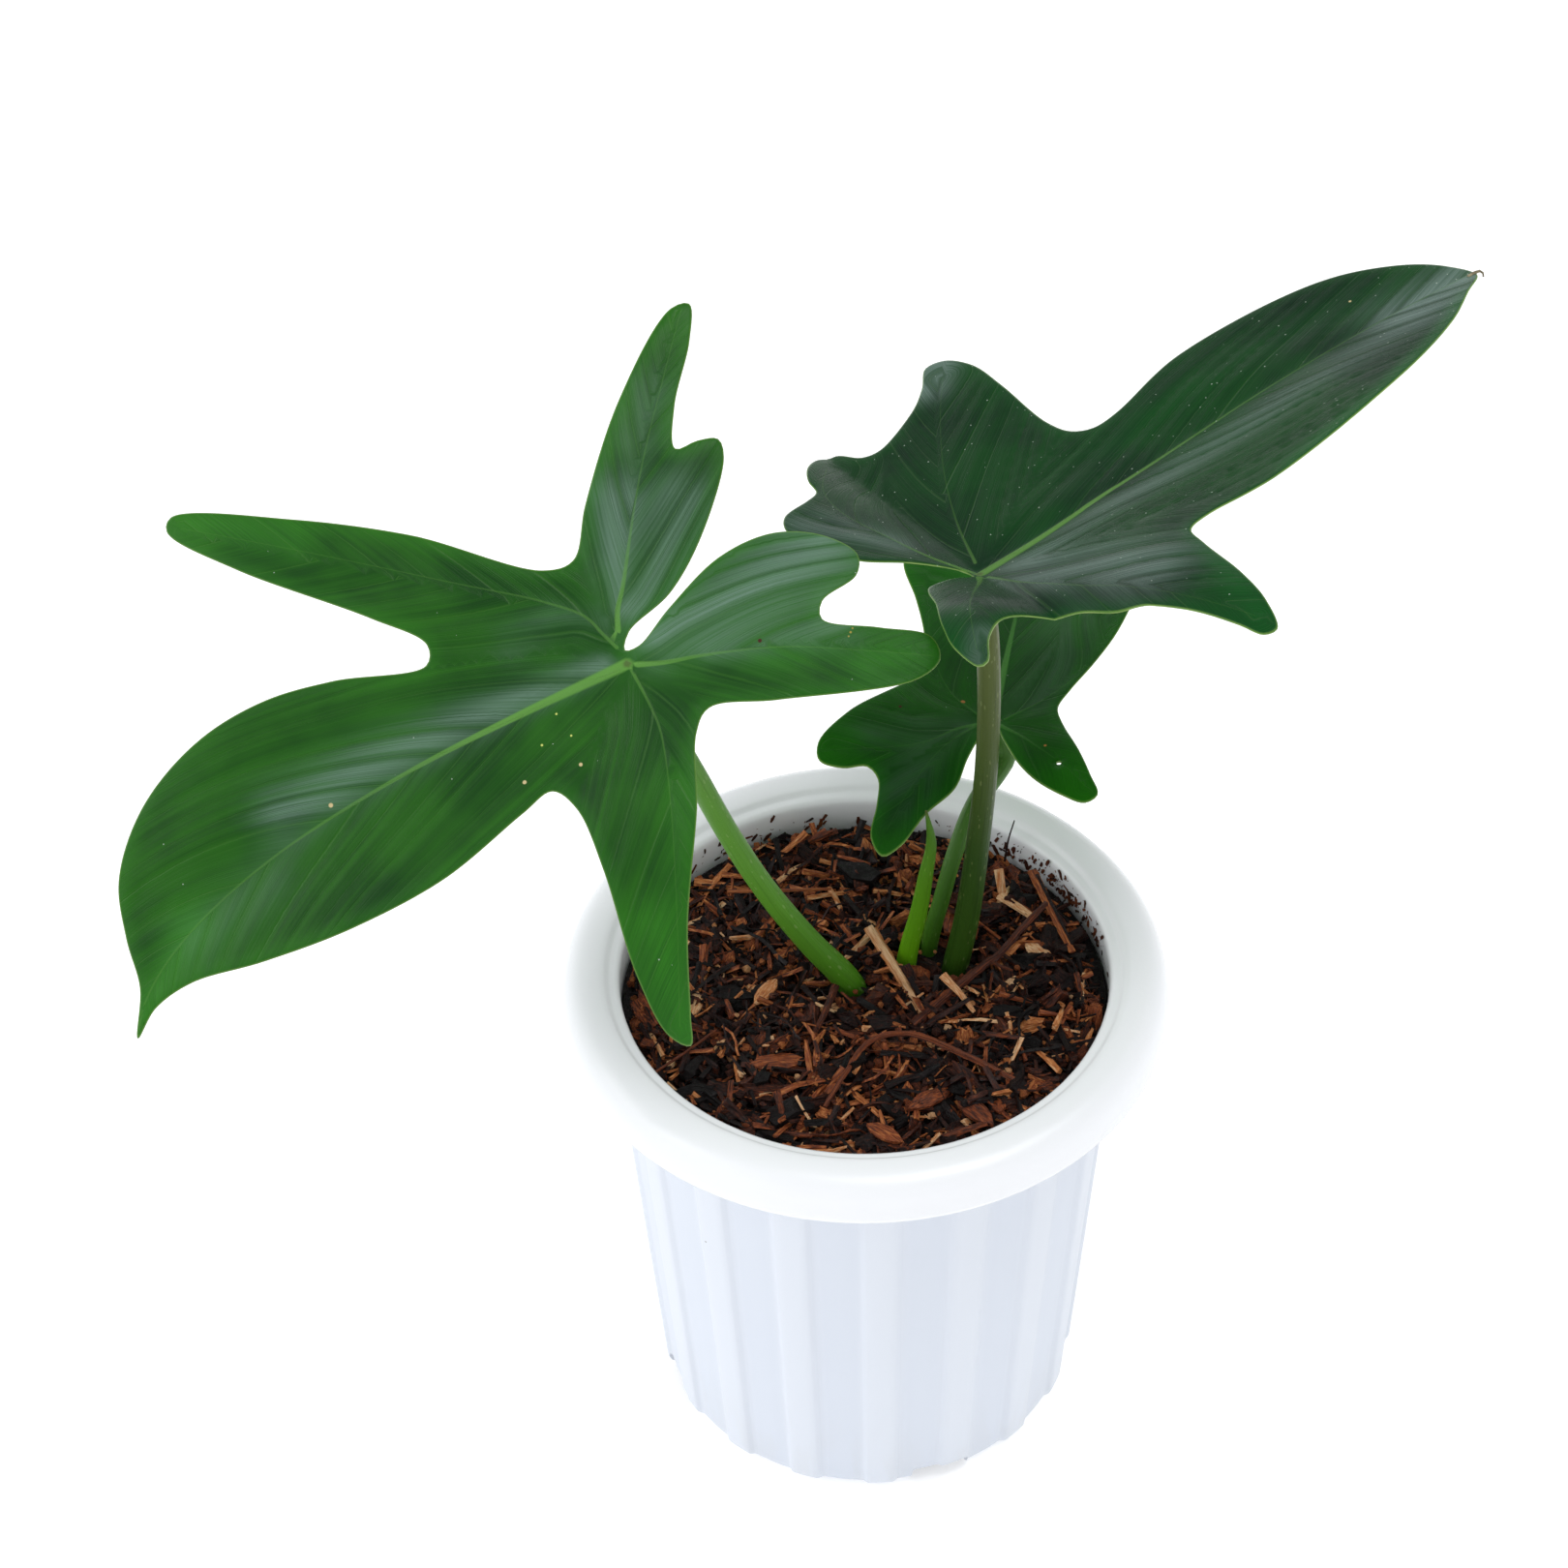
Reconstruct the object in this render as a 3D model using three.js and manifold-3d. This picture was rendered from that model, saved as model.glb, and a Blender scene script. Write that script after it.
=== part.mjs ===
// Potted philodendron pedatum: a fluted white pot, its bark mix and three lobed leaves
// Millimetres, +Z up. The origin is the middle of the pot's flat underside.

import * as THREE from "three";
import { mergeVertices } from "three/addons/utils/BufferGeometryUtils.js";
import Module from "manifold-3d";

const wasm = await Module();
wasm.setup();

const group = new THREE.Group();
const gap = 0.3;

// Pot: driving dimensions
const potHeight = 120;
const rimRadius = 65;
const wall = 1.5;
const mouthRadius = 52.1;
const footRadius = 42.5;
const footRound = 3.5;
const floorThickness = 2.5;
const neckHeight = 108;
const ridgeCount = 17;
const ridgeRise = 0.9;
const ridgeHalfWidth = THREE.MathUtils.degToRad(3.4);
const ridgeFlank = THREE.MathUtils.degToRad(1.8);
const firstRidge = THREE.MathUtils.degToRad(-87.8);
const notchCount = 4;
const notchWidth = 13;
const notchHeight = 4.5;
const notchDepth = 7;
const firstNotch = THREE.MathUtils.degToRad(-70.5);

// Growing medium: driving dimensions
const mediumLevel = 111;
const mediumCrown = 2.5;
const chipCount = 84;
const chipLength = [9, 19];
const chipWidth = [3, 6];
const chipHeight = [2.6, 4.2];

// Leaves: driving dimensions
const bladeThickness = 0.9;
const creaseWidth = 2.5;
const outlineStep = 7;
const sheetStep = 9;
const sheetRows = [0, 4, 11, 20, 30, 41, 53, 66, 79, 93];
const ribSides = 6;
const turnedSides = 60;

// Each outline lists (along the midrib, across it) in millimetres from the leaf's knot,
// lobe by lobe. The height fields bend the flat outline into the living surface.
const leaves = [
  {
    name: "leaf_left_blade",
    colour: 0x1f5a26,
    knot: [-46.4, -14.1, 220],
    along: [-0.817, -0.428, -0.386],
    normal: [-0.09, -0.567, 0.819],
    outline: [
      // Upper side of the sinus and the small basal lobe
      [-1.2, -2.5], [-4, -5], [-15, -6.4], [-27, -12], [-39.8, -22.4], [-41, -26], [-37.5, -28],
      [-33, -29.2],
      // Long basal lobe
      [-38, -36.5], [-48.4, -46.1], [-53, -52.8], [-49.5, -54], [-30, -44], [-12, -30.5], [-3.5, -23],
      // Side lobe
      [2.4, -24.9], [19.3, -46.7], [36, -64], [55.5, -80.5], [57.8, -78.5], [50.9, -62.5],
      [35.3, -37.8], [29.5, -26.5],
      // Middle lobe with its drip tip
      [32, -23.4], [48.7, -32.4], [62, -37.4], [78, -39], [94, -35.4], [106, -27], [111.5, -17],
      [115, -7.5], [121.2, 0.2], [115, -2.2], [106, -1.6], [92, 4.2], [74, 10.2], [54, 13.6],
      [34, 12.2], [26.8, 12.1],
      // Lower side lobe
      [25, 18], [28, 31.5], [35, 51.5], [36.8, 63], [34.5, 66.8], [31, 62.5], [21, 49],
      [6.3, 32.6], [-2.6, 20],
      // Lower basal lobes back to the sinus
      [-7.5, 17.4], [-19, 24.2], [-43, 37.2], [-49.5, 36.4], [-50.8, 31.5], [-43.8, 24.1],
      [-35.8, 16], [-38, 12.9], [-46.5, 12.5], [-49.3, 9], [-46, 1.6], [-38.5, -4.2],
      [-27, -6.4], [-13, -4.1], [-4, -1.6],
    ],
    midrib: [[0, 0], [25, -5], [49, -9], [77, -11.5], [96, -10.6], [108, -8], [116, -4.4], [121, 0]],
    basalRibs: [
      [[0, 0], [-4.6, -9.6], [-8.4, -13], [-18, -22.8], [-30, -34]],
      [[0, 0], [-5.9, 4.3], [-12.4, 7.6], [-26.3, 16.1], [-38, 25.6]],
    ],
    crease: 0.1,
    arch: { start: 30, rate: 0.001 },
    basalRise: { height: 0, reach: 18 },
    basalDroop: { start: 12, rate: 0.003 },
    lobeDroops: [
      { side: 1, start: 22, rate: 0.009, from: -5, to: 20 },
      { side: -1, start: 25, rate: 0.0025, from: -90, to: -60 },
    ],
    pinholes: [],
  },
  {
    name: "leaf_right_blade",
    colour: 0x1d4a28,
    knot: [23.6, 8, 222],
    along: [0.828, 0.514, 0.222],
    normal: [-0.35, 0.165, 0.922],
    outline: [
      // Lower side of the sinus, the curled basal corner and the hanging basal lobe
      [-2, -1.6], [-7, -3.2], [-12.5, -5.8], [-14, -8.5], [-16.5, -17.5], [-20.5, -28],
      [-22, -34], [-20.8, -39.2], [-18.5, -39], [-14.5, -34], [-9, -30], [-3, -30], [3.5, -34],
      // Lower side lobe
      [8.5, -45], [16, -59], [20, -69.5], [21.8, -74.6], [24.5, -75.2], [27.5, -68], [29, -58],
      [30, -43], [31.6, -35.6],
      // Middle lobe
      [37, -34], [52, -35.8], [70, -34], [90, -27], [107, -16.5], [118, -7], [124, -1], [122, 6],
      [116, 13.6], [103.5, 22.5], [88.8, 26.5], [66.8, 25.5], [48, 20.4], [42, 20.7], [38.5, 24],
      // Upper side lobe
      [37, 31], [37.8, 50], [37.5, 62], [34.5, 68.2], [30.5, 69.3], [26, 63.8], [20, 58.5],
      // Upper basal lobes back to the sinus
      [9, 53.6], [5, 55], [1.6, 60.5], [-1.5, 60.5], [-6, 56.5], [-9.3, 50], [-10.6, 44],
      [-14, 41.3], [-20.5, 38.3], [-23, 33], [-21.5, 23], [-17, 13], [-9, 7], [-2, 1.5],
    ],
    midrib: [[0, 0], [14, -0.6], [31, 0], [45, 0], [80, 1], [105, 0.8], [124, 0]],
    basalRibs: [
      [[0, 0], [-3, -7], [-7, -14], [-12, -23], [-15.5, -30]],
      [[0, 0], [-5, 9], [-8, 20], [-10.5, 33], [-9, 44]],
    ],
    crease: 0.12,
    arch: { start: 45, rate: 0.0006 },
    basalRise: { height: 14, reach: 18 },
    basalDroop: { start: 90, rate: 0 },
    lobeDroops: [
      { side: -1, start: 20, rate: 0.02, from: 12, to: -2 },
      { side: -1, start: 35, rate: 0.0055, from: -2, to: 12 },
    ],
    pinholes: [],
  },
  {
    name: "leaf_back_blade",
    colour: 0x1b4a20,
    knot: [28.4, 35.5, 156.5],
    along: [0.174, 0.978, -0.118],
    normal: [0, 0.12, 0.993],
    outline: [
      // Right side of the sinus and the right basal lobe
      [-1.6, -1], [-6, -3], [-13.5, -7.2], [-18.5, -11.8], [-22.2, -17.8], [-23.8, -22.5],
      [-22, -24.9], [-17, -22.8], [-10, -19.6], [-1.3, -15.4], [5, -13.4],
      // Middle lobe
      [11.5, -15.2], [21.5, -19.2], [31.4, -22.5], [41.8, -24.6], [54, -26], [66, -24], [80, -17],
      [91, -8.5], [99, -0.5], [91, 9], [80, 18.5], [66, 25.5], [54, 26.8], [41, 22.3], [28, 18.6],
      // Left side and basal lobes back to the sinus
      [17.7, 17.1], [8.9, 19.8], [-5, 30], [-16, 35], [-20.3, 34], [-21, 29], [-19.6, 24],
      [-22, 21.4], [-28, 20.8], [-34.5, 21.1], [-37.6, 18.3], [-35, 14.6], [-28, 10.4],
      [-21, 5.2], [-13, 3.6], [-6.5, 2.1], [-1.5, 0.9],
    ],
    midrib: [[0, 0], [25, 0], [50, 0], [75, 0], [99, 0]],
    basalRibs: [
      [[0, 0], [-4, -5.5], [-9.5, -11.5], [-15, -17.5]],
      [[0, 0], [-3.5, 6], [-11, 12], [-22, 15]],
    ],
    crease: 0.12,
    arch: { start: 25, rate: 0.0012 },
    basalRise: { height: 0, reach: 18 },
    basalDroop: { start: 4, rate: 0.01 },
    lobeDroops: [],
    pinholes: [{ at: [-13.7, -15.8], radius: 1 }],
  },
];

const midribRadius = { knot: 1.5, tip: 0.45 };
const basalRibRadius = { knot: 1.3, tip: 0.45 };

// Stalks: each runs from the buried crown to its blade's knot
const crown = { top: [10, 7, 89], foot: [9, 6, 58], radius: 6.2 };
const stalks = [
  {
    name: "petiole_left",
    colour: 0x4a8a2c,
    blade: 0,
    path: [
      [5, 4.6, 87], [-3.1, 0.9, 113], [-11.8, -1, 128.2], [-20.7, -3, 146], [-28, -5, 164.4],
      [-33.9, -8, 183], [-40.5, -11.4, 203], [-45.9, -14, 218.3],
    ],
    radii: [2.6, 3, 2.7, 2.5, 2.4, 2.4, 2.4, 2.3],
  },
  {
    name: "petiole_right",
    colour: 0x5c6b2e,
    blade: 1,
    path: [
      [14.6, 4.8, 87], [19.9, 6.8, 113], [22.2, 7.3, 127], [24.2, 7.5, 148], [25.6, 7.5, 168],
      [26, 7.5, 188], [25.4, 7.7, 206], [24, 8, 220.2],
    ],
    radii: [2.4, 2.8, 2.7, 2.5, 2.4, 2.4, 2.4, 2.3],
  },
  {
    name: "petiole_back",
    colour: 0x4d7a2e,
    blade: 2,
    path: [
      [12.4, 11.2, 87], [14.3, 12.3, 113], [17, 15, 124], [20, 18.6, 134.5], [24, 24, 142.5],
      [28.8, 30.4, 145.4], [31.2, 34, 147.6], [30.6, 35.4, 152], [28.8, 35.5, 155.2],
    ],
    radii: [1.8, 1.9, 1.8, 1.8, 1.9, 2.3, 2.4, 2.1, 1.9],
  },
  {
    name: "new_leaf_sheath",
    colour: 0x7cc02c,
    path: [
      [9.4, 6.6, 87], [9.1, 6.3, 113], [11.9, 7, 128.6], [13.2, 7.5, 138], [14.4, 8, 147.7],
      [13.3, 8.4, 156.4],
    ],
    radii: [1.9, 2.2, 1.9, 1.6, 1.1, 0.4],
  },
];
const stalkSides = 8;
const roots = [
  [[6, 3, 62], [-8, -6, 52], [-22, -14, 34], [-27, -15, 18]],
  [[11, 2, 66], [18, -12, 56], [22, -24, 38], [16, -28, 20]],
  [[13, 8, 64], [26, 14, 55], [32, 18, 36], [28, 24, 18]],
  [[7, 10, 62], [-4, 22, 50], [-10, 30, 32], [-6, 31, 16]],
  [[9, 6, 60], [7, 4, 44], [2, -4, 28], [4, -10, 12]],
];
const rootRadius = { top: 1.7, tip: 0.8 };

// Seeded random numbers
let seed = 7325;
function random(low, high) {
  seed = (seed * 1664525 + 1013904223) % 4294967296;
  return low + (high - low) * (seed / 4294967296);
}

// Turn a closed three.js geometry into a solid, and back
function solid(geometry) {
  const bare = new THREE.BufferGeometry();
  bare.setAttribute("position", geometry.getAttribute("position").clone());
  if (geometry.index) bare.setIndex(geometry.index);
  const merged = mergeVertices(bare, 1e-4);
  return new wasm.Manifold(new wasm.Mesh({
    numProp: 3,
    vertProperties: new Float32Array(merged.getAttribute("position").array),
    triVerts: new Uint32Array(merged.index.array),
  }));
}

function geometryOf(body) {
  const mesh = body.getMesh();
  const geometry = new THREE.BufferGeometry();
  geometry.setAttribute("position", new THREE.BufferAttribute(new Float32Array(mesh.vertProperties), 3));
  geometry.setIndex(new THREE.BufferAttribute(new Uint32Array(mesh.triVerts), 1));
  geometry.computeVertexNormals();
  return geometry;
}

function addNode(name, body, colour, roughness) {
  const material = new THREE.MeshStandardMaterial({ color: colour, roughness, metalness: 0 });
  const mesh = new THREE.Mesh(geometryOf(body), material);
  mesh.name = name;
  group.add(mesh);
}

// The largest connected body, without loose scraps
function mainBody(body) {
  const parts = body.decompose();
  return parts.reduce((best, part) => (part.volume() > best.volume() ? part : best));
}

// A closed body through rings of points that share one count, capped at both ends
function loft(rings) {
  const points = rings.flat();
  const sides = rings[0].length;
  const first = points.length;
  points.push(middle(rings[0]), middle(rings[rings.length - 1]));
  const index = [];
  for (let ring = 0; ring < rings.length - 1; ring += 1) {
    for (let side = 0; side < sides; side += 1) {
      const a = ring * sides + side;
      const b = ring * sides + ((side + 1) % sides);
      index.push(a, b, b + sides, a, b + sides, a + sides);
    }
  }
  const last = (rings.length - 1) * sides;
  for (let side = 0; side < sides; side += 1) {
    const next = (side + 1) % sides;
    index.push(first, next, side);
    index.push(first + 1, last + side, last + next);
  }
  const geometry = new THREE.BufferGeometry().setFromPoints(points);
  geometry.setIndex(index);
  return geometry;
}

function middle(ring) {
  const sum = new THREE.Vector3();
  for (const point of ring) sum.add(point);
  return sum.divideScalar(ring.length);
}

// A round bar of changing radius along a smooth curve
function bar(points, radii, steps, sides, grow) {
  const curve = new THREE.CatmullRomCurve3(points, false, "centripetal");
  const rings = [];
  const side = new THREE.Vector3();
  const other = new THREE.Vector3();
  for (let step = 0; step <= steps; step += 1) {
    const share = step / steps;
    const centre = curve.getPoint(share);
    const tangent = curve.getTangent(share);
    side.crossVectors(new THREE.Vector3(0.31, 0.95, 0.05), tangent).normalize();
    other.crossVectors(tangent, side);
    if (grow && step === 0) centre.addScaledVector(tangent, -grow);
    if (grow && step === steps) centre.addScaledVector(tangent, grow);
    const radius = valueAlong(radii, share) + grow;
    const ring = [];
    for (let k = 0; k < sides; k += 1) {
      const angle = (2 * Math.PI * k) / sides;
      const point = centre.clone();
      point.addScaledVector(side, radius * Math.cos(angle));
      point.addScaledVector(other, radius * Math.sin(angle));
      ring.push(point);
    }
    rings.push(ring);
  }
  return solid(loft(rings));
}

function valueAlong(values, share) {
  const place = share * (values.length - 1);
  const before = Math.min(Math.floor(place), values.length - 2);
  return THREE.MathUtils.lerp(values[before], values[before + 1], place - before);
}

// Pot
function circleRing(count, z, radiusAt) {
  const ring = [];
  for (let k = 0; k < count; k += 1) {
    const angle = (2 * Math.PI * k) / count;
    const radius = radiusAt(angle);
    ring.push(new THREE.Vector3(radius * Math.cos(angle), radius * Math.sin(angle), z));
  }
  return ring;
}

// Outer wall radius without ridges, widening with the height
function wallRadius(z) {
  if (z < footRound) return footRadius + Math.sqrt(footRound ** 2 - (footRound - z) ** 2) - 0.6;
  return THREE.MathUtils.mapLinear(z, footRound, neckHeight, footRadius + footRound - 0.6, 53.6);
}

// Height of the ridges at an angle: flat crowns with sloped flanks
function ridgeAt(angle) {
  const pitch = (2 * Math.PI) / ridgeCount;
  const offset = Math.abs(THREE.MathUtils.euclideanModulo(angle - firstRidge + pitch / 2, pitch) - pitch / 2);
  return ridgeRise * THREE.MathUtils.clamp((ridgeHalfWidth + ridgeFlank - offset) / ridgeFlank, 0, 1);
}

// The angles where the ridged wall bends
function ridgeAngles() {
  const pitch = (2 * Math.PI) / ridgeCount;
  const turns = [-ridgeHalfWidth - ridgeFlank, -ridgeHalfWidth, ridgeHalfWidth, ridgeHalfWidth + ridgeFlank, pitch / 2];
  const angles = [];
  for (let ridge = 0; ridge < ridgeCount; ridge += 1) {
    for (const turn of turns) angles.push(firstRidge + ridge * pitch + turn);
  }
  return angles;
}

function ridgedWall() {
  const levels = [0, 1.2, footRound, 20, 64, neckHeight, neckHeight + 6];
  const angles = ridgeAngles();
  const rings = levels.map((z) => angles.map((angle) => {
    const fade = THREE.MathUtils.clamp(z / footRound, 0.4, 1);
    const radius = wallRadius(Math.min(z, neckHeight)) + ridgeAt(angle) * fade;
    return new THREE.Vector3(radius * Math.cos(angle), radius * Math.sin(angle), z);
  }));
  return solid(loft(rings));
}

function turned(profile, segments) {
  const points = profile.map(([radius, z]) => new THREE.Vector2(radius, z));
  const geometry = new THREE.LatheGeometry(points, segments);
  geometry.rotateX(Math.PI / 2);
  return solid(geometry);
}

// Rolled rim, open below like the real moulding
function rolledRim() {
  const profile = [
    [mouthRadius, neckHeight - 2], [53.2, neckHeight - 2], [53.9, 112.5], [55.8, 117], [59.5, 117.6],
    [62.6, 114.6], [63.2, 110], [64.5, 109.7], [rimRadius, 112], [64.3, 116.2], [62, 118.8],
    [58.6, potHeight], [55.6, 119.6], [54.6, 118.7], [52.9, 118.2], [mouthRadius, 116.8],
  ];
  profile.push(profile[0]);
  return turned(profile, turnedSides);
}

function potCavity(shrink) {
  const foot = footRadius - wall + 0.8 - shrink;
  return [
    [0, floorThickness + shrink], [foot - 3, floorThickness + shrink], [foot, floorThickness + 3 + shrink],
    [wallRadius(20) - wall - shrink, 20],
  ];
}

function buildPot() {
  const above = potHeight + 5;
  const cavity = turned([...potCavity(0), [mouthRadius, neckHeight], [mouthRadius, above], [0, above]], turnedSides);
  let pot = ridgedWall().subtract(cavity).add(rolledRim());
  for (let notch = 0; notch < notchCount; notch += 1) {
    const angle = firstNotch + (notch * 2 * Math.PI) / notchCount;
    const reach = footRadius + 6;
    const block = new THREE.BoxGeometry(notchDepth + 6, notchWidth, 2 * notchHeight);
    block.translate(reach - (notchDepth + 6) / 2, 0, 0);
    block.rotateZ(angle);
    pot = pot.subtract(solid(block));
  }
  return mainBody(pot);
}

// Growing medium with bark chips sunk into its surface
function mediumSurface(x, y) {
  const reach = Math.hypot(x, y) / mouthRadius;
  const waves = 0.8 * Math.sin(x / 7 + 1) * Math.cos(y / 9) + 0.5 * Math.sin(y / 4.6 + x / 11);
  return mediumLevel + mediumCrown * (1 - reach ** 2) + waves;
}

function chip() {
  const length = random(...chipLength);
  const width = random(...chipWidth);
  const height = random(...chipHeight);
  const taper = random(0.35, 0.9);
  const ring = (x, scale) => [[-1, -1], [1, -1], [random(-0.4, 0.4), 1]].map(
    ([across, up]) => new THREE.Vector3(x, (scale * across * width) / 2, (scale * up * height) / 2));
  const geometry = loft([ring(-length / 2, taper), ring(length / 2, 1)]);
  const reach = mouthRadius - length / 2 - 3;
  const radius = reach * Math.sqrt(random(0, 1));
  const turn = random(0, 2 * Math.PI);
  const x = radius * Math.cos(turn);
  const y = radius * Math.sin(turn);
  geometry.rotateX(random(-0.6, 0.6));
  geometry.rotateY(random(-0.24, 0.24));
  geometry.rotateZ(random(0, Math.PI));
  geometry.translate(x, y, mediumSurface(x, y) + height * random(0.05, 0.25));
  return solid(geometry);
}

function mediumBody() {
  const rings = [];
  const count = 40;
  const reaches = [1, 0.84, 0.66, 0.46, 0.24];
  const top = mouthRadius - gap;
  const sides = potCavity(gap).slice(1);
  for (const [radius, z] of sides) rings.push(circleRing(count, z, () => radius));
  rings.push(circleRing(count, neckHeight - 4, () => wallRadius(neckHeight - 4) - wall - gap - 0.4));
  for (const reach of reaches) {
    const ring = circleRing(count, 0, () => top * reach);
    for (const point of ring) point.z = mediumSurface(point.x, point.y);
    rings.push(ring);
  }
  return solid(loft(rings));
}

function buildMedium(buried) {
  let body = mediumBody();
  for (let k = 0; k < chipCount; k += 1) body = body.add(chip());
  return mainBody(body.subtract(buried));
}

// Leaf blades
function ramp(value, from, to) {
  const share = THREE.MathUtils.clamp((value - from) / (to - from), 0, 1);
  return share * share * (3 - 2 * share);
}

function beyond(distance, start) {
  return Math.max(0, distance - start) ** 2;
}

// Sideways place of the midrib at a distance from the knot
function midribOffset(leaf, u) {
  const points = leaf.midrib;
  for (let k = 1; k < points.length; k += 1) {
    if (u <= points[k][0]) {
      return THREE.MathUtils.mapLinear(Math.max(u, 0), points[k - 1][0], points[k][0], points[k - 1][1], points[k][1]);
    }
  }
  return points[points.length - 1][1];
}

function bladeHeight(leaf, u, v) {
  const { crease, arch, basalRise, basalDroop, lobeDroops } = leaf;
  let height = crease * (Math.hypot(v - midribOffset(leaf, u), creaseWidth) - creaseWidth);
  height += basalRise.height * (1 - Math.exp(Math.min(u, 0) / basalRise.reach));
  height -= arch.rate * beyond(u, arch.start) + basalDroop.rate * beyond(-u, basalDroop.start);
  for (const droop of lobeDroops) {
    height -= droop.rate * beyond(droop.side * v, droop.start) * ramp(u, droop.from, droop.to);
  }
  return height;
}

// The turn and place that carry a flat leaf to its knot
function leafFrame(leaf) {
  const normal = new THREE.Vector3(...leaf.normal).normalize();
  const along = new THREE.Vector3(...leaf.along);
  along.addScaledVector(normal, -along.dot(normal)).normalize();
  const across = new THREE.Vector3().crossVectors(normal, along);
  return new THREE.Matrix4().makeBasis(along, across, normal).setPosition(...leaf.knot);
}

// A smooth closed outline that keeps every listed point
function smoothOutline(points) {
  const curve = new THREE.CatmullRomCurve3(points.map(([u, v]) => new THREE.Vector3(u, v, 0)), true, "centripetal");
  const result = [];
  for (let k = 0; k < points.length; k += 1) {
    const from = new THREE.Vector2(...points[k]);
    const to = new THREE.Vector2(...points[(k + 1) % points.length]);
    const steps = Math.max(1, Math.round(from.distanceTo(to) / outlineStep));
    for (let step = 0; step < steps; step += 1) {
      const point = curve.getPoint((k + step / steps) / points.length);
      result.push(new THREE.Vector2(point.x, point.y));
    }
  }
  return result;
}

// A wavy sheet, split alike above and below, that is wider than the leaf
function bladeSheet(leaf, thickness) {
  const reach = { start: -63, end: 132 };
  const rows = [...sheetRows.slice(1).reverse().map((row) => -row), ...sheetRows];
  const columns = Math.round((reach.end - reach.start) / sheetStep);
  const layers = [[], []];
  for (let column = 0; column <= columns; column += 1) {
    const u = reach.start + column * sheetStep;
    for (const row of rows) {
      const v = row + midribOffset(leaf, u);
      const height = bladeHeight(leaf, u, v);
      layers[0].push(new THREE.Vector3(u, v, height + thickness / 2));
      layers[1].push(new THREE.Vector3(u, v, height - thickness / 2));
    }
  }
  const under = layers[0].length;
  const index = [];
  const quad = (a, b, c, d) => index.push(a, b, c, a, c, d);
  for (let column = 0; column < columns; column += 1) {
    for (let row = 0; row < rows.length - 1; row += 1) {
      const a = column * rows.length + row;
      const b = a + rows.length;
      quad(a, b, b + 1, a + 1);
      index.push(under + a, under + b + 1, under + b, under + a, under + a + 1, under + b + 1);
    }
  }
  const last = rows.length - 1;
  for (let column = 0; column < columns; column += 1) {
    const a = column * rows.length;
    const b = a + rows.length;
    quad(a, a + under, b + under, b);
    quad(b + last, b + last + under, a + last + under, a + last);
  }
  for (let row = 0; row < last; row += 1) {
    const far = columns * rows.length + row;
    quad(row + 1, row + 1 + under, row + under, row);
    quad(far, far + under, far + 1 + under, far + 1);
  }
  const geometry = new THREE.BufferGeometry().setFromPoints([...layers[0], ...layers[1]]);
  geometry.setIndex(index);
  return solid(geometry);
}

function bladePrism(leaf) {
  const shape = new THREE.Shape(smoothOutline(leaf.outline));
  for (const pinhole of leaf.pinholes) {
    const hole = new THREE.Path();
    hole.absarc(...pinhole.at, pinhole.radius, 0, 2 * Math.PI);
    shape.holes.push(hole);
  }
  const depth = 160;
  const geometry = new THREE.ExtrudeGeometry(shape, { depth, bevelEnabled: false, curveSegments: 5 });
  geometry.translate(0, 0, -depth / 2);
  return solid(geometry);
}

// Ribs stand out below the blade and thin towards their tips
function bladeRibs(leaf, grow) {
  const sink = bladeThickness / 2;
  const place = ([u, v]) => new THREE.Vector3(u, v, bladeHeight(leaf, u, v) - sink);
  const shortened = (points) => points.slice(0, -1);
  const bars = [bar(shortened(leaf.midrib).map(place), [midribRadius.knot, midribRadius.tip], 14, ribSides, grow)];
  for (const rib of leaf.basalRibs) {
    bars.push(bar(rib.map(place), [basalRibRadius.knot, basalRibRadius.tip], 8, ribSides, grow));
  }
  return bars.reduce((all, one) => all.add(one));
}

// A rib is kept below the blade's upper face
function ribbedBlade(leaf) {
  const blade = bladeSheet(leaf, bladeThickness).intersect(bladePrism(leaf));
  const lift = bladeThickness * 3;
  const above = bladeSheet(leaf, lift * 2).translate([0, 0, lift + bladeThickness / 2 - 0.01]);
  const ribs = bladeRibs(leaf, 0).subtract(above);
  return mainBody(blade.add(ribs)).transform(leafFrame(leaf).elements);
}

function bladeClearance(leaf) {
  const sheet = bladeSheet(leaf, bladeThickness + 2 * gap * 1.3);
  return sheet.add(bladeRibs(leaf, gap * 1.3)).transform(leafFrame(leaf).elements);
}

// Stalks and the buried stem
function stalkBar(stalk, grow) {
  const points = stalk.path.map((point) => new THREE.Vector3(...point));
  return bar(points, stalk.radii, 2 * (points.length - 1), stalkSides, grow);
}

function buildStem(grow) {
  const points = [crown.foot, crown.top].map((point) => new THREE.Vector3(...point));
  points.splice(1, 0, new THREE.Vector3(9, 6.6, 74));
  let stem = bar(points, [crown.radius * 0.8, crown.radius, crown.radius * 0.9], 4, stalkSides, grow);
  for (const root of roots) {
    const route = root.map((point) => new THREE.Vector3(...point));
    stem = stem.add(bar(route, [rootRadius.top, rootRadius.tip], 5, 5, grow));
  }
  return stem;
}

addNode("pot", buildPot(), 0xf1f4f8, 0.38);

const stemPocket = buildStem(gap);
const buried = stalks.reduce((all, stalk) => all.add(stalkBar(stalk, gap)), stemPocket);
addNode("growing_medium", buildMedium(buried), 0x3b2115, 0.95);
addNode("stem_with_roots", mainBody(buildStem(0)), 0x8a7a4a, 0.7);

for (const leaf of leaves) addNode(leaf.name, ribbedBlade(leaf), leaf.colour, 0.4);

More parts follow.
